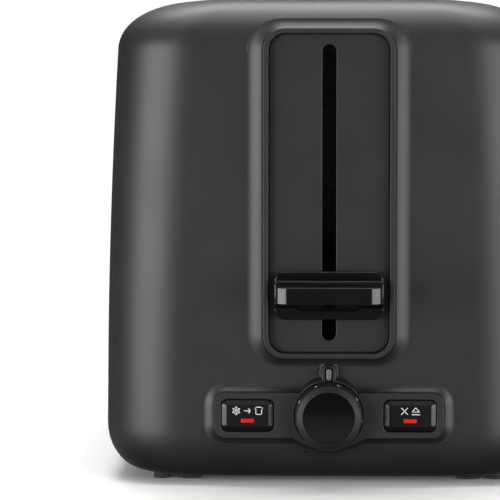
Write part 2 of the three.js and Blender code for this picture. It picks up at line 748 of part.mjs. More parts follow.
// A tapering web under the paddle carries its load down the back plate.
function leverWeb(plateOuter) {
  const root = FRONT - plateOuter + 1;
  const level = (halfWidth, tip, z) => [
    [halfWidth, root, z],
    [-halfWidth, root, z],
    [-halfWidth * 0.8, tip, z],
    [halfWidth * 0.8, tip, z],
  ];
  return loft([level(9, root - 3, PADDLE.low - 5), level(13.4, FRONT - 22, PADDLE.low + 1)]);
}

// A stamped plate behind the front wall, with the lever's tongue in front and lugs for the bread racks.
function carriage() {
  const { halfWidth, low, high, sheet, depth } = carriagePlate;
  const back = carriageY + depth;
  const wide = [-halfWidth, halfWidth];
  const front = block(wide, [carriageY, carriageY + sheet], [low, high]);
  const rodNotch = block(
    [guideRod.x - rodClearance, guideRod.x + rodClearance],
    [carriageY - 1, carriageY + sheet + 1],
    [low - 1, high + 1],
  );
  const bridge = block(wide, [back - sheet, back], [low, high]);
  const joiners = carriageJoiners.map((x) => block([x - 2, x + 2], [carriageY, back], [low + 4, high - 4]));
  const tongueBar = block(
    [-tongue.halfWidth, tongue.halfWidth],
    [tongue.tip, carriageY + 1],
    [tongue.low, tongue.high],
  );
  const tabX = [spring.x - springTab.halfWidth, spring.x + springTab.halfWidth];
  const tab = block(tabX, [spring.y - 4, carriageY + 1], [springTab.low, springTab.low + springTab.sheet]);
  const tabStay = block(tabX, [carriageY, carriageY + sheet], [springTab.low, low + 1]);
  return join(cut(front, rodNotch), bridge, ...joiners, tongueBar, tab, tabStay);
}

function carriageBush() {
  const { x, y, radius } = guideRod;
  const { low, high } = carriagePlate;
  const sleeve = bar(bush.radius, [x, y, low + 1], [x, y, high - 1], 16);
  return cut(sleeve, bar(radius + bush.clearance, [x, y, low], [x, y, high], 24));
}

const rackStart = carriageY + carriagePlate.depth + GAP;
const rackEnd = CHAMBER_END + SHEET + 8;
const rack = { halfWidth: 1, low: RACK_Z - 4, high: RACK_Z + 2, footHigh: RACK_Z + 20 };
const rackFinger = {
  count: 7,
  halfLength: 6,
  halfWidth: 1.5,
  low: RACK_Z + 1,
  high: RACK_Z + 2.5,
  inset: 14, // of the first and last finger from the chamber's ends
};

// A bread rack: an upright strip through the chamber with cross fingers that the slice stands on.
function breadRack(side) {
  const x = side * SLICE_X;
  const across = [x - rack.halfWidth, x + rack.halfWidth];
  const strip = block(across, [rackStart, rackEnd], [rack.low, rack.high]);
  const foot = block(across, [rackStart, rackStart + 2], [rack.low, rack.footHigh]);
  const { count, halfLength, halfWidth, low, high, inset } = rackFinger;
  const fingers = [];
  for (let i = 0; i < count; i++) {
    const y = THREE.MathUtils.lerp(CHAMBER_START + inset, CHAMBER_END - inset, i / (count - 1));
    fingers.push(block([x - halfLength, x + halfLength], [y - halfWidth, y + halfWidth], [low, high]));
  }
  return join(strip, foot, ...fingers);
}

add("lever_handle", leverHandle(), "glossPlastic");
add("carriage", carriage(), "plate");
add("carriage_bush", carriageBush(), "brass");
bothSides((sideName, side) => add(`${sideName}_bread_rack`, breadRack(side), "plate"));

add(
  "guide_rod",
  bar(
    guideRod.radius,
    [guideRod.x, guideRod.y, guideRod.low - 2],
    [guideRod.x, guideRod.y, guideRod.high],
    24,
  ),
  "wire",
);

// The spring is stretched while the lever is down; its top end is fixed.
function carriageSpring() {
  const { x, y, radius, wire, turns, low, high } = spring;
  const stepsPerTurn = 8;
  const points = [];
  for (let step = 0; step <= turns * stepsPerTurn; step++) {
    const angle = (step / stepsPerTurn) * 2 * Math.PI;
    const z = THREE.MathUtils.lerp(low + wire, high - wire, step / (turns * stepsPerTurn));
    points.push(new THREE.Vector3(x + radius * Math.cos(angle), y + radius * Math.sin(angle), z));
  }
  const section = new THREE.Shape(
    [0, 1, 2, 3].map((corner) => {
      const angle = (corner / 4) * 2 * Math.PI;
      return new THREE.Vector2(wire * Math.cos(angle), wire * Math.sin(angle));
    }),
  );
  const path = new THREE.CatmullRomCurve3(points);
  const steps = turns * stepsPerTurn;
  return new THREE.ExtrudeGeometry(section, { steps, extrudePath: path });
}

add("carriage_spring", carriageSpring(), "wire");

// ---------------------------------------------------------------- electromagnet that holds the lever down

const magnet = { x: -5, y: FRONT + 38, low: 26, top: 60, halfWidth: 9, halfDepth: 5 };
const yokeHeight = 4;
const outerLeg = 3;
const middleLegHalf = 2.5;
const coilHalfDepth = 7.5;

// Three legs on a yoke, like a letter E lying on its back.
function magnetCore() {
  const { x, y, low, top, halfWidth, halfDepth } = magnet;
  const depth = [y - halfDepth, y + halfDepth];
  const yoke = block([x - halfWidth, x + halfWidth], depth, [low, low + yokeHeight]);
  const legs = [
    [x - halfWidth, x - halfWidth + outerLeg],
    [x - middleLegHalf, x + middleLegHalf],
    [x + halfWidth - outerLeg, x + halfWidth],
  ].map((across) => block(across, depth, [low, top]));
  return join(yoke, ...legs);
}

function magnetCoil() {
  const { x, y, low, top, halfWidth, halfDepth } = magnet;
  const half = halfWidth - outerLeg - GAP;
  const boreHalf = middleLegHalf + GAP;
  const boreDepth = halfDepth + GAP;
  const outside = block(
    [x - half, x + half],
    [y - coilHalfDepth, y + coilHalfDepth],
    [low + yokeHeight + GAP, top - 4],
  );
  const bore = block([x - boreHalf, x + boreHalf], [y - boreDepth, y + boreDepth], [low, top]);
  return cut(outside, bore);
}

// The plate on the carriage that the magnet holds.
function armaturePlate() {
  const { x, y, top, halfWidth, halfDepth } = magnet;
  const across = [x - halfWidth - 1, x + halfWidth + 1];
  return block(across, [y - halfDepth - 1, carriageY - GAP], [top + GAP, springTab.low - GAP]);
}

add("magnet_core", magnetCore(), "plate");
add("magnet_coil", magnetCoil(), "copper");
add("armature_plate", armaturePlate(), "plate");

// ---------------------------------------------------------------- controls: board, dial, buttons

const boardThickness = 1.6;
const board = { halfWidth: 52, low: 10, high: 56 };

function circuitBoard() {
  const { halfWidth, low, high } = board;
  return block([-halfWidth, halfWidth], [boardFront, boardFront + boardThickness], [low, high]);
}

const potDepth = 7;
const potHalf = 8.5;

function browningControl() {
  const [y0, y1] = [boardFront - GAP - potDepth, boardFront - GAP];
  const body = block([-potHalf, potHalf], [y0, y1], [CONTROL_Z - potHalf, CONTROL_Z + potHalf]);
  const bore = bar(shaftRadius + GAP, [0, y0 - 5, CONTROL_Z], [0, y1 - 1.5, CONTROL_Z], 16);
  return cut(body, bore);
}

const shaftInnerY = boardFront - GAP - 2;
const shaftOuterY = FRONT - CONTROL_BAR.proud - 5.5;

const dialHub = { radius: 5.4, inset: 4.5 };
const dialShoulder = { radius: 13.4, below: 1.75 }; // where the conical skirt turns into the chamfer
const dialFaceRadius = 10.8;

// The dial's outline is turned round the shaft: a conical skirt, a wide chamfer and a flat face.
function browningDial() {
  const seat = dialSeatDepth + 0.5;
  const face = CONTROL_BAR.proud + DIAL_HEIGHT;
  const profile = [
    [0, seat + dialHub.inset],
    [dialHub.radius, seat + dialHub.inset],
    [dialHub.radius, seat],
    [DIAL_RADIUS, seat],
    [DIAL_RADIUS, CONTROL_BAR.proud + 0.4],
    [dialShoulder.radius, face - dialShoulder.below],
    [dialFaceRadius, face],
    [0, face],
  ].map(([radius, depth]) => new THREE.Vector2(radius, depth));
  const turned = new THREE.LatheGeometry(profile, 28);
  turned.rotateX(Math.PI).translate(0, FRONT, CONTROL_Z);
  const bore = bar(
    shaftRadius + GAP,
    [0, FRONT, CONTROL_Z],
    [0, shaftOuterY - GAP, CONTROL_Z],
    16,
  );
  return cut(turned, bore);
}

const contactBlock = { x: 32, half: 8, low: 36, high: 52 };
const contactLeaf = { spread: 4, halfWidth: 1.5, thickness: 0.6, high: 63 };

// Leaf contacts in a moulded block, closed by the carriage as it reaches the bottom.
function mainsContacts() {
  const { x, half, low, high } = contactBlock;
  const { spread, halfWidth, thickness, high: leafHigh } = contactLeaf;
  const y0 = boardFront + boardThickness + GAP;
  const body = block([x - half, x + half], [y0, y0 + half], [low, high]);
  const leaves = [x - spread, x + spread].map((leafX) =>
    block([leafX - halfWidth, leafX + halfWidth], [y0 + 5, y0 + 5 + thickness], [high - 1, leafHigh]),
  );
  return join(body, ...leaves);
}

add("circuit_board", circuitBoard(), "board");
add("mains_contacts", mainsContacts(), "copper");
add("browning_control", browningControl(), "panelPlastic");
add(
  "browning_shaft",
  bar(shaftRadius, [0, shaftInnerY, CONTROL_Z], [0, shaftOuterY, CONTROL_Z], 16),
  "plate",
);
add("browning_dial", browningDial(), "glossPlastic");

const buttonFace = CONTROL_BAR.proud + 0.8;
const buttonBevel = 1.9;
const switchHeight = 4;
const buttonStemEnd = boardFront - FRONT - GAP - switchHeight - BUTTON.travel - GAP; // behind the face

function buttonCap(x) {
  const at = [x, CONTROL_Z];
  const halfX = BUTTON.halfWidth - 0.35;
  const halfZ = BUTTON.halfHeight - 0.35;
  const cap = frontChamfered(halfX, halfZ, BUTTON.radius - 0.35, at, [-2, buttonFace], buttonBevel, 4);
  const stem = bar(2.2, [x, FRONT + 1, CONTROL_Z], [x, FRONT + buttonStemEnd, CONTROL_Z], 12);
  const stopFlange = frontPrism(shifted(roundedOutline(halfX, halfZ, 2, 4), ...at), -3.5, -2 + 0.1);
  const windowOutline = shifted(lightOutline(0), x, CONTROL_Z - LIGHT.drop);
  const window = frontPrism(windowOutline, buttonFace - 3, buttonFace + 1);
  return cut(join(cap, stem, stopFlange), window);
}

function lightOutline(shrink) {
  return roundedOutline(LIGHT.halfWidth - shrink, LIGHT.halfHeight - shrink, 0.3, 2);
}

for (const [name, side] of [
  ["defrost", -1],
  ["stop", 1],
]) {
  const x = side * BUTTON.centreX;
  const lightAt = [x, CONTROL_Z - LIGHT.drop];
  const lens = frontPrism(shifted(lightOutline(0.1), ...lightAt), buttonFace - 2.8, buttonFace - 0.1);
  add(`${name}_button`, buttonCap(x), "panelPlastic");
  add(`${name}_light`, lens, "redWindow");
  const switchY = [boardFront - GAP - switchHeight, boardFront - GAP];
  add(`${name}_switch`, block([x - 3, x + 3], switchY, [CONTROL_Z - 3, CONTROL_Z + 3]), "panelPlastic");
}

// ---------------------------------------------------------------- crumb tray

const trayStart = CHAMBER_START + 6;
const trayEnd = BACK - 10;
const trayGrip = { halfWidth: 24, end: BACK + 8 };

function crumbTray() {
  const { halfWidth, low, wall, sheet } = TRAY;
  const outside = block([-halfWidth, halfWidth], [trayStart, trayEnd], [low, low + wall]);
  const inside = block(
    [sheet - halfWidth, halfWidth - sheet],
    [trayStart + sheet, trayEnd - sheet],
    [low + sheet, low + wall + 1],
  );
  return cut(outside, inside);
}

// A full-width front on the tray that closes the opening flush with the rounded wall, with a lip to pull.
function trayHandle() {
  const { halfWidth, low, high } = trayOpening;
  const plug = block(
    [0.6 - halfWidth, halfWidth - 0.6],
    [trayEnd + GAP, BACK + 1],
    [low + 0.5, high - 0.5],
  );
  const front = keep(plug, shellForm(0.2));
  const across = [-trayGrip.halfWidth, trayGrip.halfWidth];
  const grip = block(across, [BACK - 2, trayGrip.end], [high - 4, high - 0.5]);
  return join(front, grip);
}

add("crumb_tray", crumbTray(), "plate");
add("crumb_tray_handle", trayHandle(), "blackPlastic");

// ---------------------------------------------------------------- cord gland

const glandTipRadius = 5.5;
const cordRadius = 3.4;
const collarThickness = 3;

// A collar outside the wall, a smaller one inside it, and a tapering nose with the cord's hole.
function cordGland() {
  const { x, z, neck, collar } = gland;
  const at = (y) => [x, y, z];
  const inside = BACK - WALL - GAP;
  const outer = bar(collar, at(BACK + GAP), at(BACK + collarThickness), 20);
  const nose = bar(neck, at(inside), at(BACK + REAR_REACH), 20, glandTipRadius);
  const inner = bar(collar - 1, at(inside), at(BACK - WALL - collarThickness), 20);
  const bore = bar(cordRadius, at(BACK - 2 * REAR_REACH), at(BACK + 2 * REAR_REACH), 16);
  return cut(join(outer, nose, inner), bore);
}

add("cord_gland", cordGland(), "rubber");

export default toaster;
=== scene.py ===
# Pop-up toaster, black moulded housing, two slices side by side, seen from its control end.
# Metres, +Z up, the lever and controls face -Y. The lever is down and both buttons are lit.
import math

import bmesh
import bpy
from mathutils import Matrix, Vector


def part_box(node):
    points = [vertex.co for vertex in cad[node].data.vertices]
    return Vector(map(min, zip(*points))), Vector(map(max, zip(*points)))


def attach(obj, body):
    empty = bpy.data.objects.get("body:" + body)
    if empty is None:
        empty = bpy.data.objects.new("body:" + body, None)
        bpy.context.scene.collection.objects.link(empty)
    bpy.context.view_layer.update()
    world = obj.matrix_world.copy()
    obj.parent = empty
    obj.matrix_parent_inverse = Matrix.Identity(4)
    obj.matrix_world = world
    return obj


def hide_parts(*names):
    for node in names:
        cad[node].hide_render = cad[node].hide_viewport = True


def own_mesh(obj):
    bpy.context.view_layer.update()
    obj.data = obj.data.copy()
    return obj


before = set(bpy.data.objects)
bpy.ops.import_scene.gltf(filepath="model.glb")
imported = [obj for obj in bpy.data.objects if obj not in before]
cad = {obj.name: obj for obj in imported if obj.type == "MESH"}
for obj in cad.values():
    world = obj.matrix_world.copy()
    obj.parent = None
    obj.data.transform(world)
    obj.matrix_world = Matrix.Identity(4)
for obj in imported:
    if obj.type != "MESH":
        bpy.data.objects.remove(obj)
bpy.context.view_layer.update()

# ------------------------------------------------------------------ camera
# A long lens a little over a metre from the front face, level with the top of the toaster and
# looking slightly down, so the lid is seen edge on and the dial's face sits low on its skirt.
mm = 0.001
surround_proud = 4.6 * mm
face_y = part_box("housing")[0].y + surround_proud
camera_distance, camera_height = 1.3, 204.5 * mm
look_down, look_aside = math.radians(4.686), math.radians(1.4275)
camera_data = bpy.data.cameras.new("camera")
camera_data.sensor_width = 36
camera_data.lens = 229.4
camera = bpy.data.objects.new("camera", camera_data)
camera.location = (0, face_y - camera_distance, camera_height)
camera.rotation_euler = (math.pi / 2 - look_down, 0, look_aside)
bpy.context.collection.objects.link(camera)
bpy.context.scene.camera = camera
bpy.context.scene.view_settings.view_transform = "Standard"

# ------------------------------------------------------------------ floor and studio light
# A pale paper floor under a white surround. Two wide side softboxes draw the long highlights down the
# rounded corners and bosses. A softbox over the back lights the crown, and a narrow strip over the
# front lights the shoulder above the controls.


def linear(hex_colour):
    """The linear colour of an sRGB hex value, with an alpha of 1."""
    channels = [int(hex_colour[i : i + 2], 16) / 255 for i in (1, 3, 5)]
    return [c / 12.92 if c <= 0.04045 else ((c + 0.055) / 1.055) ** 2.4 for c in channels] + [1]


def add_node(tree, kind, inputs=None, **settings):
    """Adds a node with its settings, and a value, a socket or a node's first output for each input."""
    node = tree.nodes.new(kind)
    for name, value in settings.items():
        setattr(node, name, value)
    for name, value in (inputs or {}).items():
        if isinstance(value, bpy.types.Node):
            value = value.outputs[0]
        if isinstance(value, bpy.types.NodeSocket):
            tree.links.new(value, node.inputs[name])
        else:
            node.inputs[name].default_value = value
    return node


def new_material(name, colour, roughness, metallic=0.0):
    """A material with its one shader: returns the material, its tree and the shader."""
    material = bpy.data.materials.new(name)
    material.use_nodes = True
    shader = material.node_tree.nodes["Principled BSDF"]
    shader.inputs["Base Color"].default_value = linear(colour)
    shader.inputs["Roughness"].default_value = roughness
    shader.inputs["Metallic"].default_value = metallic
    return material, material.node_tree, shader


def mesh_piece(name, vertices, faces, material, sharp=30):
    """A piece with its faces outwards and smooth, but for edges sharper than the angle given."""
    mesh = bpy.data.meshes.new(name)
    mesh.from_pydata([tuple(v) for v in vertices], [], faces)
    tidy = bmesh.new()
    tidy.from_mesh(mesh)
    bmesh.ops.remove_doubles(tidy, verts=tidy.verts, dist=1e-6)
    bmesh.ops.recalc_face_normals(tidy, faces=tidy.faces)
    tidy.to_mesh(mesh)
    tidy.free()
    mesh.shade_smooth()
    mesh.set_sharp_from_angle(angle=math.radians(sharp))
    mesh.materials.append(material)
    piece = bpy.data.objects.new(name, mesh)
    bpy.context.collection.objects.link(piece)
    return piece


paper_white = "#f4f4f2"
paper, tree, shader = new_material("white_paper_sweep", paper_white, 0.9)
where = add_node(tree, "ShaderNodeTexCoord").outputs["Object"]
fibre = add_node(tree, "ShaderNodeTexNoise", {"Vector": where, "Scale": 400.0, "Detail": 3.0})
bump = add_node(tree, "ShaderNodeBump", {"Height": fibre, "Distance": 0.1 * mm})
tree.links.new(bump.outputs[0], shader.inputs["Normal"])
distance = add_node(tree, "ShaderNodeVectorMath", {0: where}, operation="LENGTH")
fade_range = {"Value": distance.outputs["Value"], "From Min": 0.3, "From Max": 0.55}
fade = add_node(tree, "ShaderNodeMapRange", fade_range, interpolation_type="SMOOTHSTEP")
shader.inputs["Emission Color"].default_value = linear(paper_white)
shader.inputs["Emission Strength"].default_value = 0.03
clear = add_node(tree, "ShaderNodeBsdfTransparent")
faded = add_node(tree, "ShaderNodeMixShader", {0: fade, 1: shader, 2: clear})
tree.links.new(faded.outputs[0], tree.nodes["Material Output"].inputs[0])
reach = 0.6
floor_corners = [(-reach, -reach, 0), (reach, -reach, 0), (reach, reach, 0), (-reach, reach, 0)]
floor = mesh_piece("floor", floor_corners, [(0, 1, 2, 3)], paper)
floor.visible_glossy = False
floor.visible_diffuse = False
floor.visible_shadow = False

# Seen directly the studio is white. What it casts on the toaster is dim, and brightest a little below
# the horizon, where a white table would send light up.
world = bpy.data.worlds.new("studio")
world.use_nodes = True
bpy.context.scene.world = world
tree = world.node_tree
background = tree.nodes["Background"]
where = add_node(tree, "ShaderNodeTexCoord")
height = add_node(tree, "ShaderNodeSeparateXYZ", {0: where.outputs["Generated"]})
up_range = {"Value": height.outputs["Z"], "From Min": -1.0, "From Max": 1.0}
share = add_node(tree, "ShaderNodeMapRange", up_range)
walls = add_node(tree, "ShaderNodeValToRGB", {"Fac": share})
ramp = walls.color_ramp
below_horizon = [(0.0, 0.04), (0.2, 0.05), (0.3, 0.36), (0.4, 0.26), (0.46, 0.12)]
above_horizon = [(0.5, 0.06), (0.7, 0.05), (1.0, 0.11)]
for position, grey in below_horizon + above_horizon:
    stop = ramp.elements.new(position)
    stop.color = (grey, grey, grey, 1)
ramp.elements.remove(ramp.elements[0])
ramp.elements.remove(ramp.elements[-1])
tree.links.new(walls.outputs[0], background.inputs["Color"])
white = add_node(tree, "ShaderNodeBackground", {"Color": (1, 1, 1, 1), "Strength": 1.05})
path = add_node(tree, "ShaderNodeLightPath")
seen = add_node(tree, "ShaderNodeMixShader", {0: path.outputs["Is Camera Ray"], 1: background, 2: white})
tree.links.new(seen.outputs[0], tree.nodes["World Output"].inputs[0])


def softbox(name, place, aim, width, height, watts):
    """A rectangular lamp that shines from its place towards its aim, unseen itself."""
    data = bpy.data.lights.new(name, "AREA")
    data.shape = "RECTANGLE"
    data.size, data.size_y, data.energy = width, height, watts
    lamp = bpy.data.objects.new(name, data)
    lamp.location = place
    lamp.rotation_euler = (Vector(aim) - Vector(place)).to_track_quat("-Z", "Y").to_euler()
    lamp.visible_camera = False
    bpy.context.collection.objects.link(lamp)


softbox("left_softbox", (-1.35, -1.1, 0.16), (0, 0, 0.1), 1.5, 0.72, 35)
softbox("right_softbox", (1.35, -1.1, 0.16), (0, 0, 0.1), 1.5, 0.72, 28)
softbox("top_softbox", (0, 0.65, 1.6), (0, 0.05, 0.1), 1.3, 1.1, 31)
softbox("strip_softbox", (0, -0.36, 1.5), (0, -0.16, 0.1), 1.1, 0.18, 6.5)

# ------------------------------------------------------------------ housing
# One injection-moulded ABS shell, open underneath, with the lever surround and the control boss
# moulded into its front face. The mould is spark eroded, which leaves a fine even grain.

shell_length = 290 * mm
back_y = face_y + shell_length
middle_y = face_y + shell_length / 2
shell_bottom, low_shoulder, high_shoulder, shell_top = 3 * mm, 23 * mm, 178.5 * mm, 199.5 * mm
half_width_low, half_width_high, side_bulge = 93.1 * mm, 88.3 * mm, 1.1 * mm
plan_radius = 32 * mm
bottom_round = (16 * mm, 13 * mm)
top_round = (38 * mm, 20 * mm)
crown_power = 2 / 2.2
wall = 2.6 * mm
gap = 0.3 * mm
edge = 0.35 * mm


def maths(tree, operation, first, second=0.0):
    """A node that works on two numbers, or on the first alone."""
    return add_node(tree, "ShaderNodeMath", {0: first, 1: second}, operation=operation)


def surfaced(name, colour, tint, roughness, grain_mm, depth_mm, metallic=0.0, spread=0.05,
             along=(1, 1, 1), specular=0.5):
    """A material with a grain of this size and depth, stretched along an axis for a brushed one.

    The colour wanders towards the tint with the grain, and the roughness by the spread over 30 mm.
    """
    material, tree, shader = new_material(name, colour, roughness, metallic)
    shader.inputs["Specular IOR Level"].default_value = specular
    where = add_node(tree, "ShaderNodeTexCoord").outputs["Object"]
    stretched = add_node(tree, "ShaderNodeMapping", {"Vector": where, "Scale": along})
    fine = {"Vector": stretched, "Scale": 1 / (grain_mm * mm), "Detail": 4.0}
    grain = add_node(tree, "ShaderNodeTexNoise", fine)
    bump = add_node(tree, "ShaderNodeBump", {"Height": grain, "Distance": depth_mm * mm})
    drift = add_node(tree, "ShaderNodeTexNoise", {"Vector": where, "Scale": 33.0, "Detail": 3.0})
    limits = {"To Min": max(roughness - spread, 0.03), "To Max": roughness + spread}
    gloss = add_node(tree, "ShaderNodeMapRange", {"Value": drift, **limits})
    shades = add_node(tree, "ShaderNodeValToRGB", {"Fac": maths(tree, "MULTIPLY", grain, drift)})
    for stop, position, shade in zip(shades.color_ramp.elements, (0.12, 0.42), (colour, tint)):
        stop.position = position
        stop.color = linear(shade)
    for made, socket in ((bump, "Normal"), (gloss, "Roughness"), (shades, "Base Color")):
        tree.links.new(made.outputs[0], shader.inputs[socket])
    return material


def outline(half_x, half_y, radius, centre=(0, 0), steps=10, straight=1):
    """Points of a rounded rectangle, counter-clockwise, with its sides in equal straight steps."""
    points = []
    corners = [(1, 1), (-1, 1), (-1, -1), (1, -1)]
    for turn, (side_x, side_y) in enumerate(corners):
        middle = (side_x * (half_x - radius), side_y * (half_y - radius))
        for step in range(steps + 1):
            angle = math.radians(90 * turn + 90 * step / steps)
            points.append((middle[0] + radius * math.cos(angle), middle[1] + radius * math.sin(angle)))
        start, after = points[-1], corners[(turn + 1) % 4]
        angle = math.radians(90 * (turn + 1))
        end = (
            after[0] * (half_x - radius) + radius * math.cos(angle),
            after[1] * (half_y - radius) + radius * math.sin(angle),
        )
        for step in range(1, straight):
            share = step / straight
            points.append((start[0] + (end[0] - start[0]) * share, start[1] + (end[1] - start[1]) * share))
    return [(x + centre[0], y + centre[1]) for x, y in points]


def circle(radius, centre, steps=96):
    """Points of a circle, counter-clockwise, as outline gives them."""
    turns = [2 * math.pi * step / steps for step in range(steps)]
    return [(centre[0] + radius * math.cos(turn), centre[1] + radius * math.sin(turn)) for turn in turns]


def quarter(steps):
    """The sine and cosine of each step of a quarter turn, for a rounded edge."""
    turns = [math.pi / 2 * step / steps for step in range(steps + 1)]
    return [(math.sin(turn), math.cos(turn)) for turn in turns]


def scaled(pairs):
    """Pairs of millimetres in metres."""
    return [(first * mm, second * mm) for first, second in pairs]


def on_front(points, out):
    """Outline points seen from the front, set this far out of the front face."""
    return [(x, face_y - out, z) for x, z in points]


def level(points, z):
    """Outline points seen from above, at this height."""
    return [(x, y, z) for x, y in points]


def inset_rings(place, half, radius, centre, levels, steps=10, straight=1):
    """A rounded rectangle for each (inset, out) pair on the front, or (inset, height) pair on the level."""
    rings = []
    for inset, at in levels:
        points = outline(half[0] - inset, half[1] - inset, radius - inset, centre, steps, straight)
        rings.append(place(points, at))
    return rings


def loft(name, rings, material, hollow=False, sharp=30):
    """A skin over rings of points. A hollow one joins its last ring to its first, as a frame does."""
    count = len(rings[0])
    vertices = [point for ring in rings for point in ring]
    faces = []
    for ring in range(len(rings) if hollow else len(rings) - 1):
        here, above = ring * count, (ring + 1) % len(rings) * count
        for i in range(count):
            after = (i + 1) % count
            faces.append((here + i, here + after, above + after, above + i))
    if not hollow:
        faces.append(list(range(count))[::-1])
        faces.append(list(range(len(vertices) - count, len(vertices))))
    return mesh_piece(name, vertices, faces, material, sharp)


def apply_modifiers(piece):
    """Makes what a piece's modifiers give into its own plain mesh."""
    graph = bpy.context.evaluated_depsgraph_get()
    mesh = bpy.data.meshes.new_from_object(piece.evaluated_get(graph))
    piece.modifiers.clear()
    piece.data = mesh
    return mesh


def shape(piece, operation, *tools, sharp=30):
    """Joins tools to a piece (UNION) or cuts them out of it (DIFFERENCE), and removes them."""
    for tool in tools:
        change = piece.modifiers.new(tool.name, "BOOLEAN")
        change.operation = operation
        change.object = tool
        change.solver = "EXACT"
    apply_modifiers(piece).set_sharp_from_angle(angle=math.radians(sharp))
    piece.modifiers.new("even_normals", "WEIGHTED_NORMAL").keep_sharp = True
    apply_modifiers(piece)
    for tool in tools:
        bpy.data.objects.remove(tool)
    return piece


def fit(piece, body, slot, *nodes):
    """Rides a finished piece on its body, and stands it for its CAD nodes. The slot, its finish's name, is
    not used.
    """
    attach(piece, body)
    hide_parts(*nodes)
    return piece


def shell_form(shrink):
    """The rings of the housing's form, shrunk by a wall for its inside, which runs out at the bottom."""
    rings = []

    def ring(half_x, inset_y, z):
        half_y = shell_length / 2 - inset_y
        radius = plan_radius - 0.7 * inset_y
        rings.append(level(outline(half_x, half_y, radius, (0, middle_y), 14, 36), z))

    if shrink:
        ring(half_width_low - bottom_round[0], bottom_round[1], shell_bottom - 1 * mm)
    for sine, cosine in quarter(10):
        out_x = (bottom_round[0] - shrink) * sine
        out_y = (bottom_round[1] - shrink) * sine
        drop = (low_shoulder - shell_bottom - shrink) * cosine
        ring(half_width_low - bottom_round[0] + out_x, bottom_round[1] - out_y, low_shoulder - drop)
    for step in range(1, 36):
        share = step / 36
        straight = half_width_low + (half_width_high - half_width_low) * share
        bulge = side_bulge * 4 * share * (1 - share)
        ring(straight + bulge - shrink, shrink, low_shoulder + (high_shoulder - low_shoulder) * share)
    for sine, cosine in quarter(16):
        out_x = (top_round[0] - shrink) * max(cosine, 0) ** crown_power
        out_y = (top_round[1] - shrink) * max(cosine, 0) ** crown_power
        rise = (shell_top - high_shoulder - shrink) * sine ** crown_power
        ring(half_width_high - top_round[0] + out_x, top_round[1] - out_y, high_shoulder + rise)
    return rings


def flanked(name, grown_ring, proud, soft_rise, inner=None, power=1.9):
    """A boss that rises out of the face in a soft hollow, then a short steep wall to a thin rounded edge.

    grown_ring(share, out) gives its outline with that share of the flank's width added, and
    grown_ring(share, out, extra) adds an absolute width to it. A frame's inner rings follow.
    """
    rings, wall_share = [grown_ring(1, -1.5 * mm)], 0.1
    for step in range(25):
        climb = (1 - wall_share) * step / 24
        rings.append(grown_ring(1 - climb, soft_rise * climb ** power))
    foot_out = soft_rise * (1 - wall_share) ** power
    for climb in (0.35, 0.7, 1):
        out = foot_out + (proud - edge - foot_out) * climb ** 1.4
        rings.append(grown_ring(wall_share * (1 - climb), out))
    rings.append(grown_ring(0, proud - edge * 0.3, -edge * 0.3))
    rings.append(grown_ring(0, proud, -edge))
    return loft(name, rings + (inner or []), plastic, hollow=bool(inner))


# The lever surround: a soft flank, a thin rounded edge, a flat rim, then the panel's recess and ledge.
surround_half = (67.55 * mm, 27 * mm)
surround_radius = 9 * mm
surround_mid = 121.15 * mm
surround_flank = (6.9 * mm, 3.9 * mm)
rim_width = 2.2 * mm
panel_face = surround_proud - 3.4 * mm
panel_back = panel_face - 1.6 * mm


def surround_ring(share, out, extra=0.0):
    """The surround's outline, whose flank is wider at its sides than at its ends."""
    grow_x = share * surround_flank[0] + extra
    grow_z = share * surround_flank[1] + extra
    half_z, half_x = surround_half
    radius = surround_radius + (grow_x + grow_z) / 2
    return on_front(outline(half_x + grow_x, half_z + grow_z, radius, (0, surround_mid), 12, 8), out)


def lever_surround():
    """The surround as a frame, with its rim, the panel's recess and the ledge that the panel rests on."""
    ledge = rim_width + 4 * mm
    inner = [
        surround_ring(0, surround_proud, edge - rim_width),
        surround_ring(0, surround_proud - edge * 0.3, edge * 0.3 - rim_width),
        surround_ring(0, surround_proud - edge, -rim_width),
        surround_ring(0, panel_back - gap, -rim_width),
        surround_ring(0, panel_back - gap, -ledge),
        surround_ring(0, -1.5 * mm, -ledge),
    ]
    return flanked("lever_surround", surround_ring, surround_proud, 3.2 * mm, inner)


# The control boss: a bar, a round middle for the dial, a skirt under it and a pointer tab above it.
control_z = 30.1 * mm
control_proud = 4 * mm
bar_half, bar_radius = (47.2 * mm, 9.4 * mm), 4.9 * mm
boss_radius = 14.9 * mm
tab_half, tab_top = 2.9 * mm, 50.7 * mm
skirt_radius, skirt_centre, skirt_turn = 27.2 * mm, 13.4 * mm, 36
bow = [math.radians(turn) for turn in range(-skirt_turn, skirt_turn + 1, 6)]
bow = [(skirt_radius * math.sin(turn), skirt_centre - skirt_radius * math.cos(turn)) for turn in bow]
skirt = [(bow[0][0], 0)] + bow + [(bow[-1][0], 0)]


def bar_ring(share, out, extra=0.0):
    """The bar that the two buttons sit in."""
    grow_x, grow_z = share * 4.6 * mm + extra, share * 3.6 * mm + extra
    radius = bar_radius + (grow_x + grow_z) / 2
    points = outline(bar_half[0] + grow_x, bar_half[1] + grow_z, radius, (0, control_z), 12, 12)
    return on_front(points, out)


def round_ring(share, out, extra=0.0):
    """The round boss that the dial sits in."""
    return on_front(circle(boss_radius + share * 1.6 * mm + extra, (0, control_z)), out)


def tab_ring(share, out, extra=0.0):
    """The narrow tab that stands up from the boss and carries the pointer."""
    grow = share * 0.9 * mm + extra
    half_z = (tab_top - control_z) / 2 + grow
    centre = (0, (tab_top + control_z) / 2)
    return on_front(outline(tab_half + grow, half_z, tab_half + grow - 0.1 * mm, centre, 12), out)


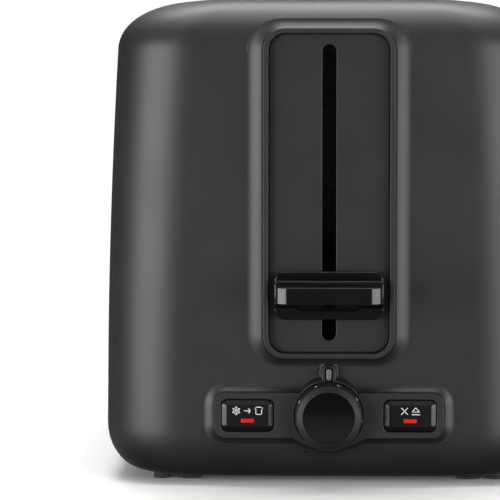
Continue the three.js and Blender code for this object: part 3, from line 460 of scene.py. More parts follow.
def skirt_ring(share, out, extra=0.0):
    """The bow under the dial, each corner moved outwards so that every side moves by the same width."""
    grow = share * 2.6 * mm + extra
    corners = [Vector(corner) for corner in skirt]
    sides = [(corner - corners[i - 1]).normalized() for i, corner in enumerate(corners)]
    normals = [Vector((side.y, -side.x)) for side in sides]
    points = []
    for i, corner in enumerate(corners):
        before, after = normals[i], normals[(i + 1) % len(normals)]
        grown = corner + (before + after) / (1 + before.dot(after)) * grow
        points.append((grown.x, grown.y + control_z))
    return on_front(points, out)


def front_cutter(name, half_x, half_z, radius, centre, face, lip, inner=-8 * mm):
    """A tool for a hole in the front whose mouth is rounded over by a small lip."""
    levels = [(0, inner)] + [(-lip * (1 - cosine), face - lip * (1 - sine)) for sine, cosine in quarter(4)]
    levels.append((-lip, face + 5 * mm))
    return loft(name, inset_rings(on_front, (half_x, half_z), radius, centre, levels, 12), plastic)


def straight_cutter(name, place, half, radius, centre, start, end, steps=10):
    """A tool for a plain hole, placed by on_front through the front or back, or by level from above."""
    points = outline(*half, radius, centre, steps)
    return loft(name, [place(points, start), place(points, end)], plastic)


# Black ABS from a spark-eroded mould: matt, with a broad soft shine. The grain is drawn 0.5 mm across,
# as the real 0.2 mm is too fine to show.
plastic = surfaced("spark_eroded_black_abs", "#131314", "#1b1b1c", 0.48, 0.5, 0.012, spread=0.04)
housing = loft("moulded_housing", shell_form(0), plastic)
panel_half = (surround_half[1] - rim_width, surround_half[0] - rim_width)
panel_ledge = 4 * mm
panel_hole_half = (panel_half[0] - panel_ledge, panel_half[1] - panel_ledge)
plate_low, plate_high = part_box("slot_plate")
plate_mid = (plate_low + plate_high) / 2
plate_half = (plate_high - plate_low) / 2
seat_at, seat_half = (0, plate_mid.y), (plate_half.x + gap, plate_half.y + gap)
throat_half = (plate_half.x - 3 * mm, plate_half.y - 3 * mm)
tray_low, tray_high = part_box("crumb_tray_handle")
tray_hole_half = (tray_high.x + 0.6 * mm, 20 * mm)
gland_low, gland_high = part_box("cord_gland")
gland_x, gland_z = (gland_low.x + gland_high.x) / 2, (gland_low.z + gland_high.z) / 2
neck = 7.3 * mm
openings = [
    loft("inside", shell_form(wall), plastic),
    straight_cutter("panel_hole", on_front, panel_hole_half, 4 * mm, (0, surround_mid), -9 * mm, 9 * mm),
    straight_cutter("seat", level, seat_half, 12 * mm, seat_at,
                    plate_high.z - 1.3 * mm, shell_top + 5 * mm),
    straight_cutter("throat", level, throat_half, 9 * mm, seat_at, shell_top - 19.5 * mm, shell_top),
    straight_cutter("tray_hole", level, tray_hole_half, 1.5 * mm, (0, back_y),
                    tray_low.z - 0.5 * mm, tray_high.z + 0.5 * mm),
    straight_cutter("gland_hole", on_front, (neck, neck), neck * 0.9999, (gland_x, gland_z),
                    10 * mm - shell_length, -10 * mm - shell_length, 8),
]
shape(housing, "DIFFERENCE", *openings)
# The boss stands a hair above the bar and the skirt a hair under it, so no two flat faces coincide.
hair = 0.03 * mm
bosses = [
    lever_surround(),
    flanked("control_bar", bar_ring, control_proud, 2.4 * mm),
    flanked("dial_boss", round_ring, control_proud + hair, 3 * mm),
    flanked("dial_skirt", skirt_ring, control_proud - hair, 3 * mm),
    flanked("pointer_tab", tab_ring, control_proud - 0.3 * mm, 1.8 * mm),
]
shape(housing, "UNION", *bosses)
button_x, button_half, button_radius = 33.3 * mm, (11 * mm, 6.7 * mm), 2.9 * mm
dial_radius = 13.9 * mm
dial_gap = dial_radius + 0.3 * mm
pointer_low, pointer_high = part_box("scale_pointer")
pointer_z, pointer_half = (pointer_low.z + pointer_high.z) / 2, (pointer_high.z - pointer_low.z) / 2
hollow_half = (bar_half[0] - wall, bar_half[1] - wall)
control_holes = [
    straight_cutter("control_hollow", on_front, hollow_half, 2.5 * mm, (0, control_z),
                    -9 * mm, control_proud - wall),
    front_cutter("left_button_hole", *button_half, button_radius, (-button_x, control_z),
                 control_proud, 0.3 * mm),
    front_cutter("right_button_hole", *button_half, button_radius, (button_x, control_z),
                 control_proud, 0.3 * mm),
    front_cutter("dial_seat", dial_gap, dial_gap, dial_gap * 0.9999, (0, control_z),
                 control_proud, 0.15 * mm, 1 * mm),
    front_cutter("pointer_pocket", 1.75 * mm, pointer_half + 1.5 * mm, 1.74 * mm,
                 (0, pointer_z - 0.6 * mm), control_proud - 0.3 * mm, 0.15 * mm, control_proud - 2.4 * mm),
    front_cutter("shaft_hole", 3.7 * mm, 3.7 * mm, 3.69 * mm, (0, control_z), 1 * mm, 0.1 * mm),
]
shape(housing, "DIFFERENCE", *control_holes)
fit(housing, "toaster", "moulded_black", "housing")

# ------------------------------------------------------------------ slot plate
# A pressed stainless plate let into the crown. Each bread mouth is rolled down into a liner, so its
# edge is round. It is brushed along the slots.

slice_x, slot_half = 32.5 * mm, (18 * mm, 76 * mm)
brushed_steel = surfaced(
    "brushed_stainless_steel", "#77797c", "#97999c", 0.36, 0.35, 0.01, 1.0, along=(1, 0.02, 1)
)


def slot_plate():
    """The plate with rounded rims round its mouths, then one liner ring under each mouth."""
    radius, sheet, top, chamfer, roll = 11.7 * mm, 1 * mm, plate_high.z, 0.25 * mm, 1.6 * mm
    body = []
    for inset, z in ((0, top - sheet), (0, top - chamfer), (chamfer, top)):
        body.append(level(outline(plate_half.x - inset, plate_half.y - inset, radius, seat_at), z))
    plate = loft("rolled_slot_plate", body, brushed_steel)
    for side in (-1, 1):
        centre = (side * slice_x, plate_mid.y)
        mouth = [(0, top - 10 * mm)]
        mouth += [(-roll * (1 - cosine), top - roll * (1 - sine)) for sine, cosine in quarter(6)]
        mouth = inset_rings(level, slot_half, 5 * mm, centre, mouth + [(-roll, top + 2 * mm)], 8)
        rim = [(-0.8 * mm, top - 8 * mm), (-1.2 * mm, top - 2 * mm), (-3 * mm, top - sheet * 0.8)]
        rim = inset_rings(level, slot_half, 5 * mm, centre, rim, 8)
        shape(plate, "UNION", loft("liner", rim, brushed_steel))
        shape(plate, "DIFFERENCE", loft("mouth", mouth, brushed_steel))
    return plate


fit(slot_plate(), "toaster", "slot_steel", "slot_plate")

# ------------------------------------------------------------------ lever panel and pointer
# A moulded panel set back inside the surround, with the slot that the lever runs in. The pointer is
# a grey tongue clipped into the tab over the dial.

panel_plastic = surfaced("satin_black_panel", "#131314", "#1a1a1b", 0.46, 0.4, 0.008, spread=0.04)
panel_edge = 0.3 * mm
panel_levels = [(gap, panel_back), (gap, panel_face - panel_edge)]
panel_levels += [(gap + 0.3 * panel_edge, panel_face - 0.3 * panel_edge), (gap + panel_edge, panel_face)]
panel_rings = inset_rings(on_front, panel_half, 6.8 * mm, (0, surround_mid), panel_levels, 12, 6)
panel = loft("moulded_lever_panel", panel_rings, panel_plastic)
slot_half_x, slot_low, slot_high = 2.9 * mm, 60.8 * mm, 182 * mm
slot_mid = (0, (slot_high + slot_low) / 2)
lever_slot = front_cutter("lever_slot", slot_half_x, (slot_high - slot_low) / 2, slot_half_x - 0.01 * mm,
                          slot_mid, panel_face, 0.25 * mm)
shape(panel, "DIFFERENCE", lever_slot)
fit(panel, "toaster", "panel_black", "lever_panel")

grey_print = surfaced("grey_marking_plastic", "#4f4f50", "#5e5e5f", 0.45, 0.3, 0.004)
tongue_rings, tongue_mid = [], (0, pointer_z - 0.3 * mm)
for inset, out in ((0, -2.2), (0, 0.0), (0.1, 0.2), (0.35, 0.3)):
    half_x, half_z = 1.05 * mm - inset * mm, pointer_half + 0.3 * mm - inset * mm
    points = outline(half_x, half_z, half_x * 0.98, tongue_mid, 8)
    tongue_rings.append(on_front(points, control_proud - 0.3 * mm + out * mm))
fit(loft("pointer_tongue", tongue_rings, grey_print), "toaster", "grey_marking", "scale_pointer")

# ------------------------------------------------------------------ base plate, feet and screws
# The base is a vented plate of the same ABS. Rubber feet are pushed into it, and four black
# pan-head screws go up through it into the housing.


def dress(material, *nodes):
    """Gives CAD nodes that keep their shape a better material."""
    for node in nodes:
        mesh = cad[node].data
        mesh.materials.clear()
        mesh.materials.append(material)


dress(plastic, "base_plate")
base_low, base_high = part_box("base_plate")
rim_half = (52.4 * mm, (base_high.y - base_low.y) / 2 - 9 * mm)
rim_section = scaled([(0, 3.1), (0, 1.6), (0.4, 1.2), (1.8, 1.2), (2.2, 1.6), (2.2, 3.1)])
rim_rings = inset_rings(level, rim_half, 9 * mm, (0, (base_low.y + base_high.y) / 2), rim_section)
fit(loft("base_stiffening_rim", rim_rings, plastic, hollow=True), "toaster", "moulded_black")
rubber = surfaced("moulded_rubber", "#0d0d0d", "#161616", 0.7, 0.6, 0.02)
foot_profile = [(0.5, 0), (0.15, 0.15), (0, 0.5), (0, 1.1), (0.3, 1.3), (0.3, 1.6), (0, 1.8), (0, 3.1)]
foot_profile = scaled(foot_profile)
for end in ("front", "rear"):
    for side in ("left", "right"):
        node = f"foot_{end}_{side}"
        low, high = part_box(node)
        sign = -1 if side == "left" else 1
        foot_y = (low.y + high.y) / 2
        pads = []
        for inner_x, outer_x in ((53.2 * mm, 63.6 * mm), (66.2 * mm, 73.4 * mm)):
            centre = (sign * (inner_x + outer_x) / 2, foot_y)
            half = ((outer_x - inner_x) / 2, (high.y - low.y) / 2)
            rings = inset_rings(level, half, 3.2 * mm, centre, foot_profile, 6)
            pads.append(loft(f"pad_{len(pads)}", rings, rubber))
        bridge = outline(6 * mm, 7 * mm, 1 * mm, (sign * 63.6 * mm, foot_y))
        pads.append(loft("bridge", [level(bridge, z) for z in (2.3 * mm, 3.05 * mm)], rubber))
        foot = shape(pads[0], "UNION", *pads[1:])
        foot.name = f"rubber_{node}"
        fit(foot, "toaster", "rubber", node)


def from_tree(name, tree, sizes, material, sharp=40):
    """Makes a plain mesh from a node tree, with its inputs set by name and its material on it."""
    piece = mesh_piece(name, [(0, 0, 0), (mm, 0, 0), (0, mm, 0)], [(0, 1, 2)], material)
    maker = piece.modifiers.new("maker", "NODES")
    maker.node_group = tree
    for socket in tree.interface.items_tree:
        if socket.item_type == "SOCKET" and socket.in_out == "INPUT" and socket.name in sizes:
            maker[socket.identifier] = sizes[socket.name]
    mesh = apply_modifiers(piece)
    mesh.shade_smooth()
    mesh.set_sharp_from_angle(angle=math.radians(sharp))
    return piece


def new_tree(name, inputs):
    """A geometry tree with named inputs: returns the tree, its inputs' sockets and its output node."""
    tree = bpy.data.node_groups.new(name, "GeometryNodeTree")
    tree.interface.new_socket("Geometry", in_out="OUTPUT", socket_type="NodeSocketGeometry")
    for label, kind in inputs.items():
        tree.interface.new_socket(label, in_out="INPUT", socket_type=kind)
    return tree, tree.nodes.new("NodeGroupInput").outputs, tree.nodes.new("NodeGroupOutput")


def close_tree(tree, geometry, material, output):
    """Ends a tree in Realize Instances and Set Material."""
    real = add_node(tree, "GeometryNodeRealizeInstances", {"Geometry": geometry})
    painted = add_node(tree, "GeometryNodeSetMaterial", {"Geometry": real, "Material": material})
    tree.links.new(painted.outputs[0], output.inputs["Geometry"])


def moved(tree, geometry, place):
    """A node that moves geometry to a place."""
    return add_node(tree, "GeometryNodeTransform", {"Geometry": geometry, "Translation": place})


def sweep(tree, curve, section):
    """A node that draws a closed section along a curve, with its ends capped."""
    ends = {"Curve": curve, "Profile Curve": section, "Fill Caps": True}
    return add_node(tree, "GeometryNodeCurveToMesh", ends)


FLOAT, VECTOR, COUNT = "NodeSocketFloat", "NodeSocketVector", "NodeSocketInt"
black_screw = surfaced("blackened_screw_steel", "#1d1d20", "#2b2b2f", 0.35, 0.3, 0.01, 0.9)


def screw_tree(material):
    """A pan-head screw with a cross recess at a place, its head below and its shank above."""
    inputs = {"Place": VECTOR, "Head Radius": FLOAT, "Length": FLOAT}
    tree, given, output = new_tree("pan_head_screw", inputs)
    ball = {"Radius": given["Head Radius"], "Segments": 32, "Rings": 16}
    head = add_node(tree, "GeometryNodeMeshUVSphere", ball)
    flat = add_node(tree, "GeometryNodeTransform", {"Geometry": head, "Scale": (1, 1, 0.42)})
    recess = add_node(tree, "GeometryNodeMeshBoolean", {"Mesh 1": flat}, operation="DIFFERENCE")
    long, narrow, deep = 4.2 * mm, 0.9 * mm, 1.4 * mm
    for size in ((long, narrow, deep), (narrow, long, deep)):
        arm = moved(tree, add_node(tree, "GeometryNodeMeshCube", {"Size": size}), (0, 0, -1.6 * mm))
        tree.links.new(arm.outputs[0], recess.inputs["Mesh 2"])
    rod = {"Radius": 1.5 * mm, "Depth": given["Length"], "Vertices": 20}
    shank = add_node(tree, "GeometryNodeMeshCylinder", rod)
    lift = add_node(tree, "ShaderNodeCombineXYZ", {"Z": maths(tree, "MULTIPLY", given["Length"], 0.5)})
    whole = add_node(tree, "GeometryNodeMeshBoolean", operation="UNION")
    for part in (recess, moved(tree, shank, lift)):
        tree.links.new(part.outputs[0], whole.inputs["Mesh 2"])
    close_tree(tree, moved(tree, whole, given["Place"]), material, output)
    return tree


screws = screw_tree(black_screw)
for corner in ("front_left", "front_right", "rear_left", "rear_right"):
    low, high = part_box(f"base_screw_{corner}")
    middle = (low + high) / 2
    sizes = {
        "Place": (middle.x, middle.y, low.z + 1.5 * mm),
        "Head Radius": 3.6 * mm,
        "Length": high.z - low.z - 1.5 * mm,
    }
    screw = from_tree(f"pan_head_screw_{corner}", screws, sizes, black_screw)
    fit(screw, "toaster", "screw_steel", f"base_screw_{corner}")

# ------------------------------------------------------------------ chassis and heat shields
# End plates and brackets are folded from galvanised sheet, with its large dull spangle. The shields
# beside the outer heaters are bright aluminised sheet, stiffened with pressed beads.

galvanised = surfaced("galvanised_sheet", "#5c5f62", "#7a7d81", 0.42, 6, 0.01, 1.0, spread=0.1)
bright_sheet = surfaced("aluminised_bright_sheet", "#a9abad", "#c6c8ca", 0.22, 4, 0.01, 1.0)
dress(galvanised, "front_chassis_plate", "rear_chassis_plate")
for side in ("left", "right"):
    low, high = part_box(f"{side}_heat_shield")
    count, depth = 240, 0.9 * mm
    face, back = [], []
    inwards = 1 if side == "left" else -1
    flat_x = low.x if side == "left" else high.x
    for i in range(count + 1):
        z = low.z + (high.z - low.z) * i / count
        bead = depth * max(0, math.sin(math.pi * 5 * (i / count)) ** 8)
        face.append((flat_x + inwards * (0.8 * mm + bead), z))
        back.append((flat_x + inwards * bead, z))
    section = face + back[::-1]
    rings = [[(x, y, z) for x, z in section] for y in (low.y, high.y)]
    shield = loft(f"beaded_{side}_heat_shield", rings, bright_sheet, sharp=50)
    fit(shield, "toaster", "bright_shield", f"{side}_heat_shield")

# ------------------------------------------------------------------ heaters
# Each heater is a card of pressed mica with a flat resistance ribbon wound to and fro over it. The
# ribbon is held in notches along the card's two ends.

mica = surfaced("pressed_mica", "#a58a5c", "#c2aa7c", 0.38, 3, 0.02, spread=0.12)
ribbon = surfaced("oxidised_heater_ribbon", "#5f564d", "#7d7468", 0.45, 0.5, 0.005, 0.8)


def ribbon_tree(material):
    """Flat ribbon laid in level rows up a card, each row joined to the next at alternate ends."""
    inputs = {"Start": VECTOR, "Along": FLOAT, "Up": FLOAT, "Rows": COUNT}
    inputs |= {"Width": FLOAT, "Thickness": FLOAT}
    tree, given, output = new_tree("ribbon_winding", inputs)
    count = maths(tree, "MULTIPLY", given["Rows"], 2.0)
    line = add_node(tree, "GeometryNodeMeshLine", {"Count": count}, mode="OFFSET")
    index = add_node(tree, "GeometryNodeInputIndex")
    row = maths(tree, "FLOOR", maths(tree, "DIVIDE", index, 2.0))
    share = maths(tree, "DIVIDE", row, maths(tree, "SUBTRACT", given["Rows"], 1.0))
    rise = maths(tree, "MULTIPLY", share, given["Up"])
    pair = maths(tree, "FLOOR", maths(tree, "DIVIDE", maths(tree, "ADD", index, 1.0), 2.0))
    reach = maths(tree, "MULTIPLY", maths(tree, "MODULO", pair, 2.0), given["Along"])
    offset = add_node(tree, "ShaderNodeCombineXYZ", {"Y": reach, "Z": rise})
    place = add_node(tree, "ShaderNodeVectorMath", {0: offset, 1: given["Start"]}, operation="ADD")
    laid = add_node(tree, "GeometryNodeSetPosition", {"Geometry": line, "Position": place})
    path = add_node(tree, "GeometryNodeMeshToCurve", {"Mesh": laid})
    upright = add_node(tree, "GeometryNodeSetCurveNormal", {"Curve": path}, mode="Z_UP")
    flat = {"Width": given["Thickness"], "Height": given["Width"]}
    section = add_node(tree, "GeometryNodeCurvePrimitiveQuadrilateral", flat)
    close_tree(tree, sweep(tree, upright, section), material, output)
    return tree


windings = ribbon_tree(ribbon)
for name in ("left_outer", "left_inner", "right_inner", "right_outer"):
    low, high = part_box(f"{name}_heater_card")
    notches, depth = 18, 1.2 * mm
    border = [(low.y, low.z), (high.y, low.z)]
    for i in range(notches * 4 + 1):
        inset = depth if i % 4 in (1, 2) else 0
        border.append((high.y - inset, low.z + (high.z - low.z) * (i + 0.001) / (notches * 4 + 0.002)))
    border += [(low.y + high.y - y, low.z + high.z - z) for y, z in border[2:]]
    rings = [[(x, y, z) for y, z in border] for x in (low.x, high.x)]
    fit(loft(f"notched_{name}_card", rings, mica), "toaster", "mica", f"{name}_heater_card")
    wound_low, wound_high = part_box(f"{name}_heater_winding")
    sizes = {
        "Start": ((wound_low.x + wound_high.x) / 2, wound_low.y + 1.3 * mm, wound_low.z + 1.3 * mm),
        "Along": wound_high.y - wound_low.y - 2.6 * mm,
        "Up": wound_high.z - wound_low.z - 2.6 * mm,
        "Rows": 17,
        "Width": 1.6 * mm,
        "Thickness": 0.35 * mm,
    }
    winding = from_tree(f"{name}_ribbon_winding", windings, sizes, ribbon)
    fit(winding, "toaster", "heater_ribbon", f"{name}_heater_winding")

# ------------------------------------------------------------------ bread guards
# Four grids of bright nickel-plated wire, welded at every crossing and hinged on their bottom rails.
# They lean in over the bread as the lever goes down.

nickel_wire = surfaced("nickel_plated_wire", "#a9aaab", "#c3c4c5", 0.2, 0.8, 0.006, 1.0)
hinge_radius = 1.2 * mm


def grid_tree(material):
    """Upright wires between a hinge rail and a top rail, with cross wires between them."""
    inputs = {"Hinge": VECTOR, "Lean": FLOAT, "Rise": FLOAT, "Length": FLOAT}
    inputs |= {"Uprights": COUNT, "Wire": FLOAT, "Overhang": FLOAT}
    tree, given, output = new_tree("wire_grid", inputs)
    joined = add_node(tree, "GeometryNodeJoinGeometry")
    lean = add_node(tree, "ShaderNodeCombineXYZ", {"X": given["Lean"], "Z": given["Rise"]})
    upright = add_node(tree, "GeometryNodeCurvePrimitiveLine", {"End": lean})
    margin = 2 * mm
    last = add_node(tree, "ShaderNodeCombineXYZ", {"Y": maths(tree, "SUBTRACT", given["Length"], margin)})
    row = {"Count": given["Uprights"], "Start Location": (0, margin, 0), "Offset": last}
    row = add_node(tree, "GeometryNodeMeshLine", row, mode="END_POINTS")
    along = add_node(tree, "ShaderNodeCombineXYZ", {"Y": given["Length"]})
    rail = add_node(tree, "GeometryNodeCurvePrimitiveLine", {"End": along})
    rungs = add_node(tree, "GeometryNodeMeshLine", {"Count": 4, "Offset": lean}, mode="END_POINTS")
    thin = add_node(tree, "GeometryNodeCurvePrimitiveCircle", {"Resolution": 10, "Radius": given["Wire"]})
    for points, wire in ((row, upright), (rungs, rail)):
        wires = add_node(tree, "GeometryNodeInstanceOnPoints", {"Points": points, "Instance": wire})
        real = add_node(tree, "GeometryNodeRealizeInstances", {"Geometry": wires})
        tree.links.new(sweep(tree, real, thin).outputs[0], joined.inputs["Geometry"])
    before = maths(tree, "MULTIPLY", given["Overhang"], -1.0)
    beyond = maths(tree, "ADD", given["Length"], given["Overhang"])
    ends = [add_node(tree, "ShaderNodeCombineXYZ", {"Y": place}) for place in (before, beyond)]
    pin = add_node(tree, "GeometryNodeCurvePrimitiveLine", {"Start": ends[0], "End": ends[1]})
    thick = add_node(tree, "GeometryNodeCurvePrimitiveCircle", {"Resolution": 14, "Radius": hinge_radius})
    tree.links.new(sweep(tree, pin, thick).outputs[0], joined.inputs["Geometry"])
    close_tree(tree, moved(tree, joined, given["Hinge"]), material, output)
    return tree


grids = grid_tree(nickel_wire)
overhang = 6 * mm
for name in ("left_outer", "left_inner", "right_inner", "right_outer"):
    low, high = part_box(f"{name}_bread_guard")
    leans_right = name in ("left_outer", "right_inner")
    hinge_x = low.x + hinge_radius if leans_right else high.x - hinge_radius
    sizes = {
        "Hinge": (hinge_x, low.y + overhang, low.z + hinge_radius),
        "Lean": 5 * mm if leans_right else -5 * mm,
        "Rise": high.z - low.z - 2.1 * mm,
        "Length": high.y - low.y - 2 * overhang,
        "Uprights": 12,
        "Wire": 0.8 * mm,
        "Overhang": overhang,
    }
    guard = from_tree(f"wire_{name}_guard", grids, sizes, nickel_wire)
    fit(guard, f"{name}_guard", "guard_wire", f"{name}_bread_guard")

# ------------------------------------------------------------------ lever
# The lever is moulded in gloss black ABS: a back plate that runs on the panel, a paddle with rounded
# ends, a step over it and a gusset and a web under it. It is pushed onto the carriage's tongue.

gloss_black = surfaced(
    "gloss_black_abs", "#080808", "#0c0c0c", 0.2, 2, 0.002, spread=0.03, specular=0.36
)
lever_half, lever_low, lever_high = 22.4 * mm, 69.7 * mm, 89.5 * mm
plate_inner, plate_outer = panel_face + 0.5 * mm, panel_face + 3.7 * mm
paddle_low, paddle_high, reach_out = 78.2 * mm, 85.3 * mm, 31 * mm
end_start, end_radius, end_turn = 17.0 * mm, 9.4 * mm, math.radians(14)
corner_turn, corner_radius, side_turn = math.radians(38), 2.6 * mm, math.radians(86)


def lever_plate():
    """The back plate, with its outer edge rounded."""
    rounding, centre = 0.6 * mm, (0, (lever_low + lever_high) / 2)
    levels = [(0, plate_inner)]
    for sine, cosine in quarter(7):
        levels.append((rounding * (1 - cosine), plate_outer - rounding * (1 - sine)))
    half = (lever_half, (lever_high - lever_low) / 2)
    rings = inset_rings(on_front, half, 4.5 * mm, centre, levels, 12)
    return loft("lever_back_plate", rings, gloss_black, sharp=60)


def paddle_outline(inset):
    """The paddle seen from above: a flat front, then a crease, an easy curve and a tight corner."""
    front_y, root = face_y - reach_out, face_y - plate_outer + 1 * mm
    half, x, y = [(end_start - 0.2 * mm, front_y + inset)], end_start, front_y
    bends = [(end_turn, corner_turn, end_radius), (corner_turn, side_turn, corner_radius)]
    for start, stop, radius in bends:
        for step in range(9):
            angle = start + (stop - start) * step / 8
            turned_x = x + radius * (math.sin(angle) - math.sin(start))
            turned_y = y + radius * (math.cos(start) - math.cos(angle))
            half.append((turned_x - inset * math.sin(angle), turned_y + inset * math.cos(angle)))
        x, y = turned_x, turned_y
    half.append((half[-1][0], root))
    return [(-x, y) for x, y in half[::-1]] + half


def paddle():
    """The paddle, with its lower and upper edges rounded."""
    r = 0.5 * mm
    levels = [(r * (1 - sine), paddle_low + r * (1 - cosine)) for sine, cosine in quarter(6)]
    levels += [(r * (1 - cosine), paddle_high - r * (1 - sine)) for sine, cosine in quarter(6)]
    rings = [level(paddle_outline(inset), z) for inset, z in levels]
    return loft("lever_paddle", rings, gloss_black, sharp=12)


def crossbar(name, section, half):
    """A bar of one section, of (y, z) points, from side to side of the lever."""
    return loft(name, [[(x, y, z) for y, z in section] for x in (-half, half)], gloss_black)


def step_ridge():
    """The step across the plate over the paddle, with a rounded upper edge."""
    r, inner, outer = 0.6 * mm, face_y - plate_outer + 0.5 * mm, face_y - plate_outer - 1.3 * mm
    low, top = paddle_high - 1 * mm, paddle_high + 0.5 * mm
    section = [(inner, low), (outer, low)]
    section += [(outer + r * (1 - cosine), top - r * (1 - sine)) for sine, cosine in quarter(8)]
    return crossbar("step_ridge", section + [(inner, top)], lever_half - 0.15 * mm)


def lever_gusset():
    """The sloping underside that carries the paddle across the plate's whole width."""
    section = [(0.5, -3.9), (0.5, 0.6), (-4, 0.6), (-0.6, -3.5)]
    section = [(face_y - plate_outer + y * mm, paddle_low + z * mm) for y, z in section]
    return crossbar("lever_gusset", section, lever_half - 0.3 * mm)


def lever_web():
    """The tapering web under the middle of the paddle."""
    root, rings = face_y - plate_outer + 1 * mm, []
    for half, reach, drop in ((13.2, 3, 4.9), (14.4, 12, 1.6), (16, 16.2, -1)):
        half, tip, z = half * mm, root - reach * mm, paddle_low - drop * mm
        rings.append([(half, root, z), (-half, root, z), (-half * 0.8, tip, z), (half * 0.8, tip, z)])
    return loft("lever_web", rings, gloss_black)


lever = shape(lever_plate(), "UNION", paddle(), step_ridge(), lever_gusset(), lever_web(), sharp=24)
carriage_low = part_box("carriage")[0]
pocket = outline(1.9 * mm, 2.5 * mm, 0.2 * mm, (0, 81.8 * mm), 3)
pocket = [on_front(pocket, out) for out in (0, face_y - carriage_low.y + gap)]
shape(lever, "DIFFERENCE", loft("tongue_pocket", pocket, gloss_black), sharp=24)
lever.name = "moulded_lever"
fit(lever, "carriage", "gloss_black", "lever_handle")

# ------------------------------------------------------------------ carriage, rod and spring
# The carriage is stamped from galvanised sheet and slides on a ground rod in a brass bush. A spring
# hooked on it is stretched while the lever is down and lifts it when the magnet lets go.

ground_rod = surfaced("ground_rod_steel", "#b7b8ba", "#cbccce", 0.14, 0.3, 0.003, 1.0, along=(1, 1, 0.05))
brass = surfaced("sintered_brass", "#a9853f", "#c29c52", 0.35, 0.4, 0.02, 1.0)
spring_wire = surfaced("spring_steel_wire", "#8b8c8e", "#a5a6a8", 0.25, 0.5, 0.004, 1.0)
dress(galvanised, "carriage", "left_bread_rack", "right_bread_rack")
dress(ground_rod, "guide_rod", "browning_shaft")
dress(brass, "carriage_bush")


def spring_tree(material):
    """A close spiral of round wire, wound up from its lower end."""
    inputs = {"Foot": VECTOR, "Radius": FLOAT, "Wire": FLOAT, "Height": FLOAT, "Turns": FLOAT}
    tree, given, output = new_tree("extension_spring", inputs)
    coil = {"Resolution": 20, "Rotations": given["Turns"], "Height": given["Height"]}
    coil |= {"Start Radius": given["Radius"], "End Radius": given["Radius"]}
    spiral = add_node(tree, "GeometryNodeCurveSpiral", coil)
    section = add_node(tree, "GeometryNodeCurvePrimitiveCircle", {"Resolution": 8, "Radius": given["Wire"]})
    wire = sweep(tree, spiral, section)
    close_tree(tree, moved(tree, wire, given["Foot"]), material, output)
    return tree


low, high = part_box("carriage_spring")
spring_x, spring_y = -16 * mm, (low.y + high.y) / 2
spring_wire_radius = 0.5 * mm
sizes = {
    "Foot": (spring_x, spring_y, low.z + spring_wire_radius),
    "Radius": 3.4 * mm,
    "Wire": spring_wire_radius,
    "Height": high.z - low.z - 2 * spring_wire_radius,
    "Turns": 24.0,
}
spring = from_tree("wound_carriage_spring", spring_tree(spring_wire), sizes, spring_wire)
fit(spring, "toaster", "spring_wire", "carriage_spring")
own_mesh(spring)

# ------------------------------------------------------------------ electromagnet
# A stack of steel laminations inside a bobbin wound with enamelled copper wire, and the plate on the
# carriage that it holds.

laminated_steel = surfaced(
    "laminated_core_steel", "#55575b", "#7a7d81", 0.4, 0.5, 0.03, 1.0, along=(0.02, 1, 0.02)
)
copper = surfaced(
    "enamelled_copper_winding", "#8a4a22", "#b5713c", 0.3, 0.5, 0.12, 0.85, along=(0.03, 0.03, 1)
)
dress(laminated_steel, "magnet_core", "armature_plate")
low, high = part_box("magnet_coil")
coil_mid, coil_half = ((low + high) / 2).xy, (high - low) / 2
coil_rings, steps = [], 22 * 4
for step in range(steps + 1):
    z = low.z + (high.z - low.z) * step / steps
    inset = 0.18 * mm * (1 - abs(math.sin(math.pi * step / 4)))
    coil_rings.append(level(outline(coil_half.x - inset, coil_half.y - inset, 2 * mm, coil_mid, 5), z))
bore = outline(2.8 * mm, 5.3 * mm, 0.3 * mm, coil_mid, 5)
coil_rings += [level(bore, high.z), level(bore, low.z)]
coil = loft("wound_magnet_coil", coil_rings, copper, hollow=True)
fit(coil, "toaster", "coil_copper", "magnet_coil")

# ------------------------------------------------------------------ browning dial
# The dial is moulded in black ABS: a matt tapered skirt that carries the numbers, a rounded shoulder
# that rises to a rim, and inside it a slightly domed cap with a polished face.

dial_face = control_proud + 9 * mm
satin_black = surfaced(
    "satin_black_abs", "#0f0f10", "#151516", 0.56, 0.4, 0.006, spread=0.03, specular=0.36
)
polished_black = surfaced("polished_black_abs", "#060606", "#090909", 0.1, 2, 0.001, spread=0.02)


def turned(name, profile, material, centre=(0, 0), steps=96, sharp=30):
    """A piece turned about an axis that points out of the front: (radius, out) pairs, closed."""
    rings = [on_front(circle(radius, centre, steps), out) for radius, out in profile]
    return loft(name, rings, material, sharp=sharp)


seat_out, round_off = 1.5 * mm, 0.2 * mm
shoulder_radius, shoulder_drop, rim_radius, cap_radius = 13.45 * mm, 1.75 * mm, 10.8 * mm, 10.5 * mm
turn_in, turn_up = 0.4 * mm, 0.62 * mm
skirt_top = dial_face - shoulder_drop
profile = [(5.4 * mm, seat_out), (dial_radius - round_off, seat_out), (dial_radius, seat_out + round_off)]
profile += [(dial_radius, control_proud + 0.2 * mm), (shoulder_radius, skirt_top)]
profile += [(shoulder_radius - 0.3 * turn_in, skirt_top + 0.35 * mm)]
profile += [(shoulder_radius - turn_in, skirt_top + turn_up)]
for step in range(1, 8):
    share = step / 8
    radius = shoulder_radius - turn_in + (rim_radius + turn_in - shoulder_radius) * share
    below = (shoulder_drop - turn_up) * (1 - share) ** 1.25 + 0.12 * mm * (1 - share)
    profile.append((radius, dial_face - below))
profile += [(rim_radius, dial_face), (10.65 * mm, dial_face - 0.1 * mm), (10.6 * mm, dial_face - 0.9 * mm)]
profile += [(5 * mm, dial_face - 1.2 * mm)]
dial = turned("dial_skirt_ring", profile, satin_black, (0, control_z))
fit(dial, "browning_dial", "moulded_black", "browning_dial")
dome = [(cap_radius, dial_face - 0.8 * mm)]
